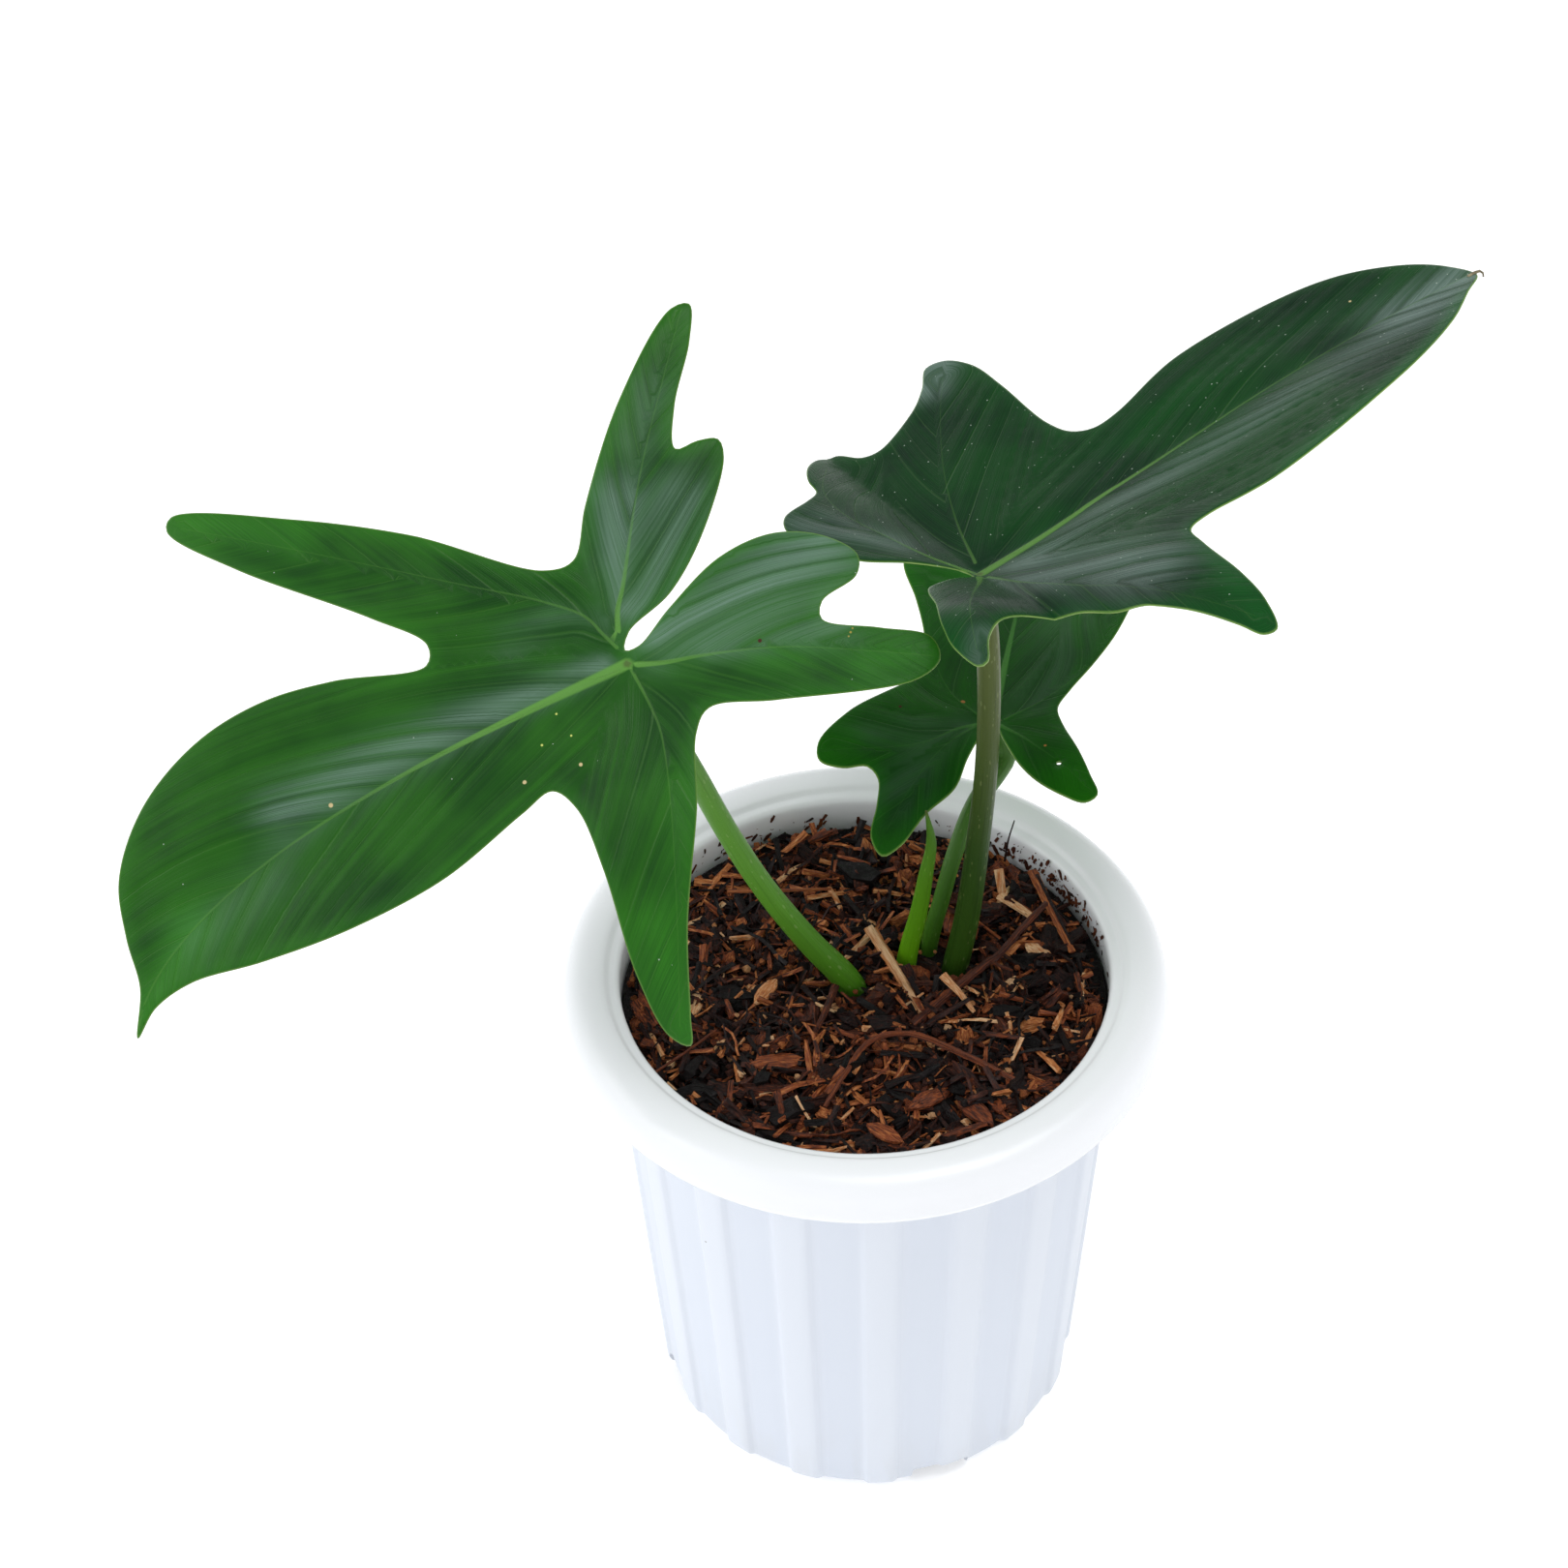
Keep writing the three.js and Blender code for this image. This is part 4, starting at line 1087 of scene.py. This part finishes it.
# %% Where the painted sheen lies
# points in mm along and across the leaf, half width at either end in mm, strength
painted_sheen_strokes = {
    "left": [([(4, -2.6), (15, -5.4), (34, -10), (54, -14.5), (72, -17)], 2.4, 6.0, 0.85),
             ([(-8, 0.5), (-20, 2), (-34, 3), (-44, 4)], 5.0, 8.5, 1.0),
             ([(-14, 8), (-28, 14), (-38, 19)], 3.0, 4.5, 0.45),
             ([(-6, -10), (-10, -18), (-18, -27)], 3.0, 6.0, 0.85),
             ([(-8, -7), (-18, -13), (-28, -20)], 3.0, 6.0, 0.65),
             ([(-28, -35), (-36, -42)], 4.5, 4.5, 0.3),
             ([(-2, -9), (6, -16), (16, -17)], 3.0, 4.0, 0.25),
             ([(82, -8), (100, -8)], 6.0, 6.0, 0.22)],
    "right": [([(6, -6), (34, -8), (64, -9), (90, -8), (112, -4)], 5.0, 7.0, 0.42),
              ([(106, -2), (122, 0)], 8.0, 7.0, 1.0),
              ([(6, -12), (14, -24), (20, -40)], 7.5, 9.0, 0.62),
              ([(-8, 16), (-14, 24), (-19, 32)], 5.0, 7.0, 0.45),
              ([(27, 63), (34, 69)], 5.0, 5.0, 0.95),
              ([(-15, -33), (-20, -39)], 3.0, 3.0, 0.4)],
    "back": [([(-4, 6), (-12, 12), (-24, 16)], 4.0, 6.0, 0.4),
             ([(-6, 14), (-10, 24)], 4.0, 5.0, 0.35),
             ([(8, -8), (20, -12), (36, -13)], 5.0, 8.0, 0.35)],
}

fresh_strokes = {
    "left": [([(100, -10), (119, -2)], 6.0, 4.0, 0.75),
             ([(38, -62), (54, -78)], 6.0, 4.0, 0.6), ([(26, 46), (34, 64)], 6.0, 4.0, 0.7),
             ([(-38, 28), (-48, 34)], 5.0, 4.0, 0.6),
             ([(4, -36), (24, -58)], 5.0, 5.0, 0.45), ([(-34, 22), (-22, 16)], 4.0, 4.0, 0.35),
             ([(6, 26), (20, 44)], 4.0, 4.0, 0.3)],
    "right": [([(56, -35), (80, -31), (100, -21), (117, -8)], 3.0, 3.0, 1.0),
              ([(24, -72), (29, -50), (34, -37)], 4.5, 3.5, 0.7), ([(-14, -24), (-21, -34)], 3.0, 3.0, 0.5),
              ([(40, 12), (80, 14), (105, 10)], 5.0, 6.0, 0.25)],
    "back": [([(-16, -17), (-22, -23)], 5.0, 4.0, 0.5), ([(-12, 28), (-18, 33)], 4.0, 4.0, 0.4),
             ([(30, 12), (60, 16)], 6.0, 8.0, 0.3)],
}


def stroke_strength(points, strokes):
    """how strongly the strokes lie on each point"""
    bare = np.ones(len(points))
    for line, first, last, strength in strokes:
        far, along, side, length = distance_to_line(points, np.array(line, float))
        radius = first + (last - first) * along / length
        bare *= 1 - strength * np.exp(-(far / radius) ** 2 * 1.2)
    return 1 - bare


print("bloom strokes:", {name: len(strokes) for name, strokes in painted_sheen_strokes.items()})

# %% [markdown]
# The net wants even triangles about a millimetre wide, and finer ones along the ribs and the rim.
# Points are taken in order of rank: the outline, a ring just inside it, the ribs, and last a filling of
# staggered rows. A point that falls too close to one already taken is dropped.

# %% Points of a blade's net
net_step = 1.3
rim_step = 1.1
rib_step = 1.3
rim_ring = 0.5
bare_edge = 0.38
net_jitter = 0.18
row_height = 0.866


class NearCheck:
    """remembers points in square cells, so that near ones are found at once"""

    def __init__(self, cell=1.5):
        self.cell = cell
        self.cells = {}
        self.points = []

    def add(self, point, gap):
        cx, cy = int(point[0] // self.cell), int(point[1] // self.cell)
        for ix in (cx - 1, cx, cx + 1):
            for iy in (cy - 1, cy, cy + 1):
                for other in self.cells.get((ix, iy), ()):
                    if math.hypot(point[0] - other[0], point[1] - other[1]) < gap:
                        return
        self.cells.setdefault((cx, cy), []).append(point)
        self.points.append(point)


def inside_outline(points, outline):
    inside = np.zeros(len(points), bool)
    for a, b in zip(outline, np.roll(outline, -1, axis=0)):
        crosses = (a[1] > points[:, 1]) != (b[1] > points[:, 1])
        with np.errstate(divide="ignore", invalid="ignore"):
            meet = (b[0] - a[0]) * (points[:, 1] - a[1]) / (b[1] - a[1]) + a[0]
        inside ^= crosses & (points[:, 0] < meet)
    return inside


def left_of(steps):
    """for each step the unit vector that points to its left"""
    left = np.stack([-steps[:, 1], steps[:, 0]], axis=1)
    return left / np.hypot(left[:, 0], left[:, 1])[:, None]


def net_points(outline, ribs, draw, pinhole):
    net = NearCheck()
    for point in outline:
        net.add(tuple(point), 0.05)
    rim_count = len(net.points)
    candidates = []
    if pinhole:
        turns = np.linspace(0, math.tau, 10, endpoint=False)
        u, v, radius = pinhole
        candidates.append((np.stack([u + radius * np.cos(turns), v + radius * np.sin(turns)], axis=1), 0.2))
    inward = left_of(np.roll(outline, -1, axis=0) - np.roll(outline, 1, axis=0)) * rim_ring
    candidates += [(outline + inward, 0.4), (outline - inward, 0.4)]
    for number, line in enumerate(ribs):
        steps = np.roll(line, -1, axis=0) - line
        steps[-1] = steps[-2]
        width = rib_width(np.linspace(0, 1, len(line)), rib_strength(number))
        for share in (0.0, 0.55, -0.55, 1.0, -1.0, 1.7, -1.7):
            candidates.append((line + left_of(steps) * (width * share)[:, None], 0.33))
    low, high = outline.min(axis=0), outline.max(axis=0)
    rows = []
    row = 0
    y = low[1]
    while y < high[1]:
        x = low[0] + (net_step * 0.5 if row % 2 else 0.0)
        while x < high[0]:
            off_x, off_y = draw.uniform(-net_jitter, net_jitter), draw.uniform(-net_jitter, net_jitter)
            rows.append((x + off_x, y + off_y))
            x += net_step
        y += net_step * row_height
        row += 1
    candidates.append((np.array(rows), 0.85))
    for points, gap in candidates:
        good = inside_outline(points, outline) & (distance_to_edge(points, outline) > bare_edge)
        for point in points[good]:
            net.add(tuple(point), gap)
    return net.points, rim_count


print("net step", net_step, "mm")

# %% [markdown]
# The net is joined flat, and then each of its points is lifted to the blade's height there.
# What the finish has to know of a point is kept on it: its vein, the ribs near it, the painted sheen and fresh
# green.
# The underside is the same skin pushed down by the blade's thickness, which grows to a keel under each rib.

# %% Skin of a blade
blade_thickness = 0.55
thin_edge = 0.45
thick_from = 0.8


def flat_line(points):
    return np.array([(p.x, p.y) for p in points])


def leaf_axes(leaf):
    """a leaf's own directions: along it, across it and out of its face"""
    normal = Vector(leaf["normal"]).normalized()
    along = Vector(leaf["along"])
    along = (along - normal * along.dot(normal)).normalized()
    return along, normal.cross(along), normal


def build_blade(name, materials, pinhole=None):
    leaf = leaves[name]
    outline = flat_line(closed_curve([(*p, 0) for p in leaf["outline"]], rim_step))
    ribs = [flat_line(open_curve([(*p, 0) for p in rib], rib_step))
            for rib in [leaf["midrib"]] + leaf["side_ribs"]]
    points, rim_count = net_points(outline, ribs, random.Random(5), pinhole)
    rim_edges = [(i, (i + 1) % rim_count) for i in range(rim_count)]
    net = delaunay_2d_cdt([Vector(p) for p in points], rim_edges, [], 1, 1e-5)
    flat = flat_line(net[0])
    relief, keel, vein, reach, rib_half, edge, calm = blade_relief(flat, ribs, outline)
    height = broad_height(flat, leaf) + relief
    thick = blade_thickness * (thin_edge + (1 - thin_edge) * np.clip(edge / thick_from, 0, 1)) + keel
    # painted sheen: how strongly a grey reflection is painted into the top's colour at each point
    painted_sheen = stroke_strength(flat, painted_sheen_strokes[name])
    fresh = stroke_strength(flat, fresh_strokes[name])
    along, across, normal = leaf_axes(leaf)
    knot = Vector(leaf["knot"])

    bm = bmesh.new()
    vein_layer, rib_layer = [bm.verts.layers.float_vector.new(label) for label in ("Veins", "Ribs")]
    depth_layer, painted_sheen_layer, fresh_layer = [bm.verts.layers.float.new(label)
                                             for label in ("Depth", "PaintedSheen", "Fresh")]
    verts = []
    for i, (u, v) in enumerate(flat):
        vert = bm.verts.new((knot + along * u + across * v + normal * height[i]) * MM)
        vert[vein_layer] = (vein[i], reach[i], calm[i])
        vert[rib_layer] = (rib_half[i], edge[i], math.hypot(u, v))
        vert[depth_layer] = thick[i]
        vert[painted_sheen_layer] = painted_sheen[i]
        vert[fresh_layer] = fresh[i]
        verts.append(vert)
    for corners in net[2]:
        middle = flat[list(corners)].mean(axis=0)
        if not pinhole or math.hypot(middle[0] - pinhole[0], middle[1] - pinhole[1]) >= pinhole[2]:
            bm.faces.new([verts[c] for c in corners])
    bm.normal_update()
    if sum(face.normal.dot(normal) * face.calc_area() for face in bm.faces) < 0:
        bmesh.ops.reverse_faces(bm, faces=bm.faces[:])
    bmesh.ops.delete(bm, geom=[vert for vert in bm.verts if not vert.link_faces], context="VERTS")

    top = bm.faces[:]
    made = bmesh.ops.extrude_face_region(bm, geom=top, use_keep_orig=True)["geom"]
    under = [g for g in made if isinstance(g, bmesh.types.BMFace)]
    for vert in made:
        if isinstance(vert, bmesh.types.BMVert):
            vert.co -= normal * (vert[depth_layer] * MM)
    for number, faces in ((2, bm.faces[:]), (0, top), (1, under)):
        for face in faces:
            face.material_index = number
    bmesh.ops.recalc_face_normals(bm, faces=bm.faces[:])
    return finish_piece(bm, f"leaf_{name}", materials, [f"leaf_{name}_blade"])


print("blade thickness", blade_thickness, "mm")

# %% [markdown]
# On a leaf, side veins show as thin lighter lines and the ribs are pale green.
# The top and the underside both draw them from the numbers that the net keeps on its points,
# and so do the fine lines that run along the veins.

# %% Veins in the finish


def leaf_numbers():
    """vein, reach and calm, and then the rib's half width, the way to the edge and the way to the knot"""
    return parts_of(attribute("Veins", "Vector")) + parts_of(attribute("Ribs", "Vector"))


def on_rib(reach, rib_half):
    """1 on a rib and 0 beside it, weaker where the rib is thin"""
    near = rise(calculate("DIVIDE", reach, rib_half), 1.25, 0.6)
    return near * rise(rib_half, 0.08, 0.75, 0.18, 1.0)


def vein_line(vein, calm, spacing, half_width):
    """1 in the middle of each vein of this spacing and 0 beside it"""
    return rise(off_whole(calculate("DIVIDE", vein, spacing)), half_width / spacing, 0.0) * calm


def lines_along(vein, reach, vein_scale, reach_scale, detail, roughness):
    """noise drawn out along the veins"""
    place = add_node("ShaderNodeCombineXYZ", {"X": vein * vein_scale, "Y": reach * reach_scale})
    return noise(place, 1.0, detail, roughness)


print("vein helpers ready")

# %% [markdown]
# A leaf's green isn't even: it runs from deep bluish green to a fresher green in streaks along the veins.
# Pale veins and ribs, a grey sheen painted in as reflection, a fine yellowish rim, dust and a few spots are
# laid over it in turn.
# The gloss is soft, and fine lines along the veins break it up, so they go into the bump.
# Each leaf has its own age and place in the light, so one recipe takes its greens as values.

# %% Leaf finishes


def leaf_top(name, deep, fresh, rib, painted_sheen_colour, gloss, shine, dust_share, streak_share, spots):
    material = new_material(name)
    vein, reach, calm, rib_half, edge, from_knot = leaf_numbers()
    place = object_coordinates()
    streaks = (lines_along(vein, reach, 0.16, 0.035, 3.0, 0.55) - 0.5) * calm
    patches = use_group(mottle_group, place, Scale=34.0, Contrast=0.5)
    green = blend(rise(streaks * streak_share + patches * 0.3 + 0.375, 0.32, 0.72), deep, fresh)
    fine_lines = (lines_along(vein, reach, 1.9, 0.06, 2.0, 0.6) - 0.5) * calm + 0.5
    green = blend(rise(fine_lines, 0.45, 0.75) * (streak_share * 0.4), green, fresh)

    main_lines = vein_line(vein, calm, vein_spacing, 0.55)
    small_lines = vein_line(vein, calm, small_vein_spacing, 0.35)
    pale = blend(0.4, fresh, rib)
    green = blend(small_lines * 0.05, green, pale)
    green = blend(attribute("Fresh") * rise(fine_lines, 0.25, 0.7, 0.45, 1.0), green, shaded(fresh, 1.9))
    green = blend(rise(edge, 4.0, 0.3, 0.0, 0.35), green, shaded(fresh, 1.5))
    green = blend(main_lines * rise(reach, 1.0, 22.0, 0.26, 0.05), green, pale)
    # painted sheen: a grey reflection painted into the colour, stronger between the veins and along the fine
    # lines
    between = rise(off_whole(calculate("DIVIDE", vein, vein_spacing)), 0.0, 0.3, 0.35, 1.0)
    painted_sheen = attribute("PaintedSheen") * rise(fine_lines, 0.3, 0.62, 0.45, 1.0) * between
    green = blend(painted_sheen * 0.8, green, painted_sheen_colour)
    green = blend(on_rib(reach, rib_half) * 0.92, green, rib)
    green = blend(rise(edge, 0.34, 0.1, 0.0, 0.6), green, (0.13, 0.26, 0.045))
    green = blend(rise(from_knot, 1.3, 0.4, 0.0, 0.6), green, (0.05, 0.05, 0.02))
    dust = use_group(specks_group, place, Scale=800.0, Share=dust_share, Size=0.13)
    green = blend(dust * 0.75, green, (0.45, 0.52, 0.45))
    for x, y, z, radius, colour in spots:
        spot = (x * MM, y * MM, z * MM)
        away = add_node("ShaderNodeVectorMath", {0: place, 1: spot}, "Value", operation="DISTANCE")
        green = blend(rise(away, radius * MM, radius * 0.6 * MM), green, colour)

    skin = use_group(grain_group, place, Scale=2200.0, Amount=0.10)
    relief = bump(fine_lines * 0.8 + skin - main_lines * 0.7, 0.00022, 0.55)
    dress(green, fine_lines * 0.12 + dust * 0.3 + (gloss - 0.06), relief, shine)
    return material


def leaf_under(name, colour, rib):
    material = new_material(name)
    vein, reach, calm, rib_half, edge, from_knot = leaf_numbers()
    place = object_coordinates()
    lines = lines_along(vein, reach, 0.9, 0.05, 3.0, 0.6)
    patches = use_group(mottle_group, place, Scale=50.0, Contrast=0.6)
    main_lines = vein_line(vein, calm, vein_spacing, 0.7)
    small_lines = vein_line(vein, calm, small_vein_spacing, 0.5)
    green = blend(rise(lines, 0.35, 0.65), shaded(colour, 0.66), colour)
    for mask in (patches * 0.25, small_lines * 0.16, main_lines * rise(reach, 1.0, 26.0, 0.65, 0.15),
                 on_rib(reach, rib_half) * 0.95):
        green = blend(mask, green, rib)
    skin = use_group(grain_group, place, Scale=1800.0, Amount=0.4)
    dress(green, 0.55, bump(lines + skin + main_lines, 0.0003, 0.6))
    return material


def mottled(name, scale, first, second, roughness):
    """a plain finish that wavers between two colours"""
    material = new_material(name)
    shade = use_group(mottle_group, object_coordinates(), Scale=scale, Contrast=0.5)
    dress(blend(shade, first, second), roughness)
    return material


tan = (0.52, 0.42, 0.22)
yellow = (0.50, 0.55, 0.14)
brown = (0.30, 0.13, 0.035)
dark_red = (0.05, 0.012, 0.008)
stain = (0.30, 0.24, 0.05)
# each leaf's painted_sheen_colour is the grey of the reflection painted on its top
leaf_looks = {
    "left": dict(
        deep=(0.004, 0.040, 0.004), fresh=(0.016, 0.100, 0.006), rib=(0.10, 0.26, 0.045),
        painted_sheen_colour=(0.135, 0.225, 0.17), gloss=0.32, shine=0.14, dust_share=0.03, streak_share=0.62,
        spots=[(-105.3, -31.5, 199.9, 0.55, tan), (-66.9, -32.5, 205.9, 0.5, tan),
               (-60.5, -21.2, 213.4, 0.3, yellow), (-57.6, -25.7, 211.7, 0.28, yellow),
               (-63.4, -26.6, 210.2, 0.3, yellow), (-55.8, -31.0, 208.9, 0.45, tan),
               (-1.6, -11.0, 226.0, 0.3, stain), (-2.1, -11.8, 225.75, 0.3, stain),
               (-2.5, -12.6, 225.5, 0.3, stain), (-2.9, -13.4, 225.2, 0.25, stain),
               (-20.3, -13.0, 224.2, 0.5, dark_red)]),
    "right": dict(
        deep=(0.001, 0.015, 0.005), fresh=(0.003, 0.042, 0.006), rib=(0.085, 0.20, 0.04),
        painted_sheen_colour=(0.16, 0.225, 0.20), gloss=0.27, shine=0.09, dust_share=0.38, streak_share=0.42,
        spots=[(102.5, 70.0, 240.2, 0.5, tan)]),
    "back": dict(
        deep=(0.004, 0.040, 0.004), fresh=(0.009, 0.085, 0.003), rib=(0.05, 0.17, 0.03),
        painted_sheen_colour=(0.075, 0.13, 0.09), gloss=0.34, shine=0.05, dust_share=0.04, streak_share=0.6,
        spots=[(22.4, 42.0, 156.1, 0.6, brown), (8.9, 38.2, 158.7, 0.45, dark_red),
               (39.0, 25.2, 158.6, 0.4, brown)]),
}
leaf_tops = {name: leaf_top(f"{name} leaf top", **look) for name, look in leaf_looks.items()}
under_green = leaf_under("leaf underside", (0.055, 0.17, 0.045), (0.20, 0.37, 0.10))
rim_finish = mottled("pale leaf rim", 260.0, (0.10, 0.21, 0.035), (0.26, 0.38, 0.10), 0.5)
print("leaf finishes:", [made.name for made in leaf_tops.values()])

# %% [markdown]
# Each blade is one piece with three finishes: its top, its underside and its rim.
# The back leaf has one small hole, which is left out of the net rather than painted on.

# %% Build the three blades
pinholes = {"back": (-13.7, -15.8, 0.6)}
for name in leaves:
    build_blade(name, [leaf_tops[name], under_green, rim_finish], pinholes.get(name))

# %% [markdown]
# The right leaf ends in a dry brown drip tip that is curled over like a small hook.
# It is too fine for the blade's net, so it is a tapering stick of its own, set on the blade's last point.

# %% Drip tip
tip_u, tip_v = 123.4, -0.6
tip_sunk = 0.25
hook_points = [(-1.2, 0.0), (0.6, 0.0), (1.7, -0.3), (2.2, -1.1), (2.0, -1.9)]
tip_finish = mottled("dry drip tip", 700.0, (0.07, 0.05, 0.02), (0.30, 0.26, 0.15), 0.6)
right_leaf = leaves["right"]
along, across, normal = leaf_axes(right_leaf)
tip_height = float(broad_height(np.array([[tip_u, tip_v]]), right_leaf)[0])
tip_foot = Vector(right_leaf["knot"]) + along * tip_u + across * tip_v + normal * (tip_height - tip_sunk)
hook = [tip_foot + along * forward + normal * raised for forward, raised in hook_points]
tip_heap = new_heap()
lay_stick(tip_heap, random.Random(3), hook, 0.5, 0.22, 0.5, sides=8, squash=0.8)
finish_piece(tip_heap, "drip_tip", [tip_finish], [])

# %% [markdown]
# A leaf stalk is round, slightly swollen at its foot and again where it turns into the blade.
# It could be a bevelled curve, but rings that are joined one to the next also carry how far up they are,
# and the finish uses that number to run from bright green at the foot to speckled grey green above.

# %% Stalk helpers
stalk_sides = 20
ring_step = 1.6
groove_depth = 0.05


def running_lengths(points):
    """how far along the line each of its points lies"""
    lengths = [0.0]
    for a, b in zip(points, points[1:]):
        lengths.append(lengths[-1] + (Vector(b) - Vector(a)).length)
    return lengths


def build_stalk(name, node, path, radii, finish, squash=1.0):
    line = open_curve(path, ring_step)
    lengths = running_lengths(line)
    stations = running_lengths(path)
    scale = lengths[-1] / stations[-1]
    bm = bmesh.new()
    along_layer = bm.verts.layers.float.new("Along")
    around_layer = bm.verts.layers.float_vector.new("Around")
    side = Vector((1, 0, 0))
    rings = []
    for i, centre in enumerate(line):
        tangent = (line[min(i + 1, len(line) - 1)] - line[max(i - 1, 0)]).normalized()
        side = (side - tangent * side.dot(tangent)).normalized()
        radius = float(np.interp(lengths[i] / scale, stations, radii))
        ring = bmesh.ops.create_circle(bm, segments=stalk_sides, radius=1.0)["verts"]
        for k, vert in enumerate(ring):
            turn = math.tau * k / stalk_sides
            vert[along_layer] = lengths[i] / lengths[-1]
            vert[around_layer] = (math.cos(turn) * 3, math.sin(turn) * 3, lengths[i])
            groove = 1 - groove_depth * max(0.0, math.cos(turn)) ** 8
            vert.co.x *= groove
            vert.co.y *= groove
        place = (Matrix.Translation(centre * MM) @ axes_matrix(side, tangent.cross(side), tangent)
                 @ Matrix.Diagonal((radius * MM, radius * squash * MM, MM, 1)))
        bmesh.ops.transform(bm, matrix=place, verts=ring)
        rings.append(list({e for vert in ring for e in vert.link_edges}))
    for first, second in zip(rings, rings[1:]):
        bmesh.ops.bridge_loops(bm, edges=first + second)
    bmesh.ops.holes_fill(bm, edges=[e for e in bm.edges if len(e.link_faces) == 1], sides=0)
    bmesh.ops.recalc_face_normals(bm, faces=bm.faces[:])
    return finish_piece(bm, name, [finish], [node])


def stalk_finish(name, foot, middle, top, speckle):
    material = new_material(name)
    along = attribute("Along")
    around = attribute("Around", "Vector")
    lines = noise(stretch(around, (1.6, 1.6, 0.05)), 1.0)
    colour = colour_steps(lines * 0.12 + along, [(0.12, foot), (0.5, middle), (0.95, top)])
    colour = blend(rise(lines, 0.5, 0.75) * 0.45, colour, shaded(middle, 0.55))
    flecks = use_group(specks_group, stretch(around, (0.9, 0.9, 0.35)), Scale=1.6, Share=0.35, Size=0.45)
    colour = blend(flecks * 0.35, colour, speckle)
    colour = blend(rise(along, 0.965, 1.0, 0.0, 0.6), colour, (0.10, 0.075, 0.03))
    skin = use_group(grain_group, object_coordinates(), Scale=1500.0, Amount=0.4)
    dress(colour, 0.38, bump(lines + skin, 0.0003, 0.5), shine=0.22)
    return material


print("stalk helpers ready")

# %% [markdown]
# Each stalk follows its own path up from the buried stem, and has its own greens.
# The next leaf is still a rolled sheath between them: it is shorter, flatter, brighter and pointed.

# %% Stalks
green_stalk = stalk_finish("green stalk", (0.045, 0.17, 0.003), (0.085, 0.24, 0.020),
                           (0.10, 0.25, 0.04), (0.24, 0.36, 0.12))
olive_stalk = stalk_finish("olive stalk", (0.030, 0.085, 0.005), (0.022, 0.058, 0.007),
                           (0.075, 0.097, 0.015), (0.20, 0.24, 0.09))
back_stalk = stalk_finish("back stalk", (0.045, 0.13, 0.006), (0.05, 0.15, 0.012),
                          (0.06, 0.16, 0.025), (0.18, 0.26, 0.09))
sheath_green = stalk_finish("bright sheath", (0.085, 0.28, 0.002), (0.10, 0.29, 0.004),
                            (0.06, 0.17, 0.01), (0.28, 0.46, 0.08))
build_stalk("stalk_left", "petiole_left",
            [(5, 4.6, 87), (-3.1, 0.9, 113), (-11.8, -1, 128.2), (-20.7, -3, 146), (-28, -5, 164.4),
             (-33.9, -8, 183), (-40.5, -11.4, 203), (-45.9, -14, 218.3)],
            [2.6, 3.0, 2.7, 2.5, 2.4, 2.4, 2.4, 2.3], green_stalk)
build_stalk("stalk_right", "petiole_right",
            [(14.6, 4.8, 87), (19.9, 6.8, 113), (22.2, 7.3, 127), (24.2, 7.5, 148), (25.6, 7.5, 168),
             (26, 7.5, 188), (25.4, 7.7, 206), (24, 8, 220.2)],
            [2.4, 2.8, 2.7, 2.5, 2.4, 2.4, 2.4, 2.3], olive_stalk)
build_stalk("stalk_back", "petiole_back",
            [(12.4, 11.2, 87), (14.3, 12.3, 113), (17, 15, 124), (20, 18.6, 134.5), (24, 24, 142.5),
             (28.8, 30.4, 145.4), (31.2, 34, 147.6), (30.6, 35.4, 152), (28.8, 35.5, 155.2)],
            [1.8, 1.9, 1.8, 1.8, 1.9, 2.3, 2.4, 2.1, 1.9], back_stalk)
build_stalk("new_leaf", "new_leaf_sheath",
            [(9.4, 6.6, 87), (9.1, 6.3, 113), (11.9, 7, 128.6), (13.2, 7.5, 138), (14.4, 8, 147.7),
             (13.3, 8.4, 156.4)],
            [1.9, 2.2, 1.9, 1.6, 1.1, 0.25], sheath_green, squash=0.8)

# %% [markdown]
# The short stem and its thick roots are buried, but whoever lifts the plant out sees them.
# Their CAD solid has the right shape, so it stays, and only its plain grey is changed for corky skin.

# %% Stem and roots finish
root_finish = new_material("corky stem and roots")
place = object_coordinates()
rings = noise(stretch(place, (1, 1, 4)), 180.0)
corky = colour_steps(rings, [(0.25, (0.10, 0.07, 0.03)), (0.55, (0.27, 0.21, 0.10)),
                             (0.8, (0.40, 0.34, 0.18))])
skin = use_group(grain_group, place, Scale=700.0, Amount=0.6)
dress(corky, 0.7, bump(rings + skin, 0.0005, 0.7))
for kept_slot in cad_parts["stem_with_roots"].material_slots:
    kept_slot.material = root_finish
print("stem and roots have", root_finish.name)
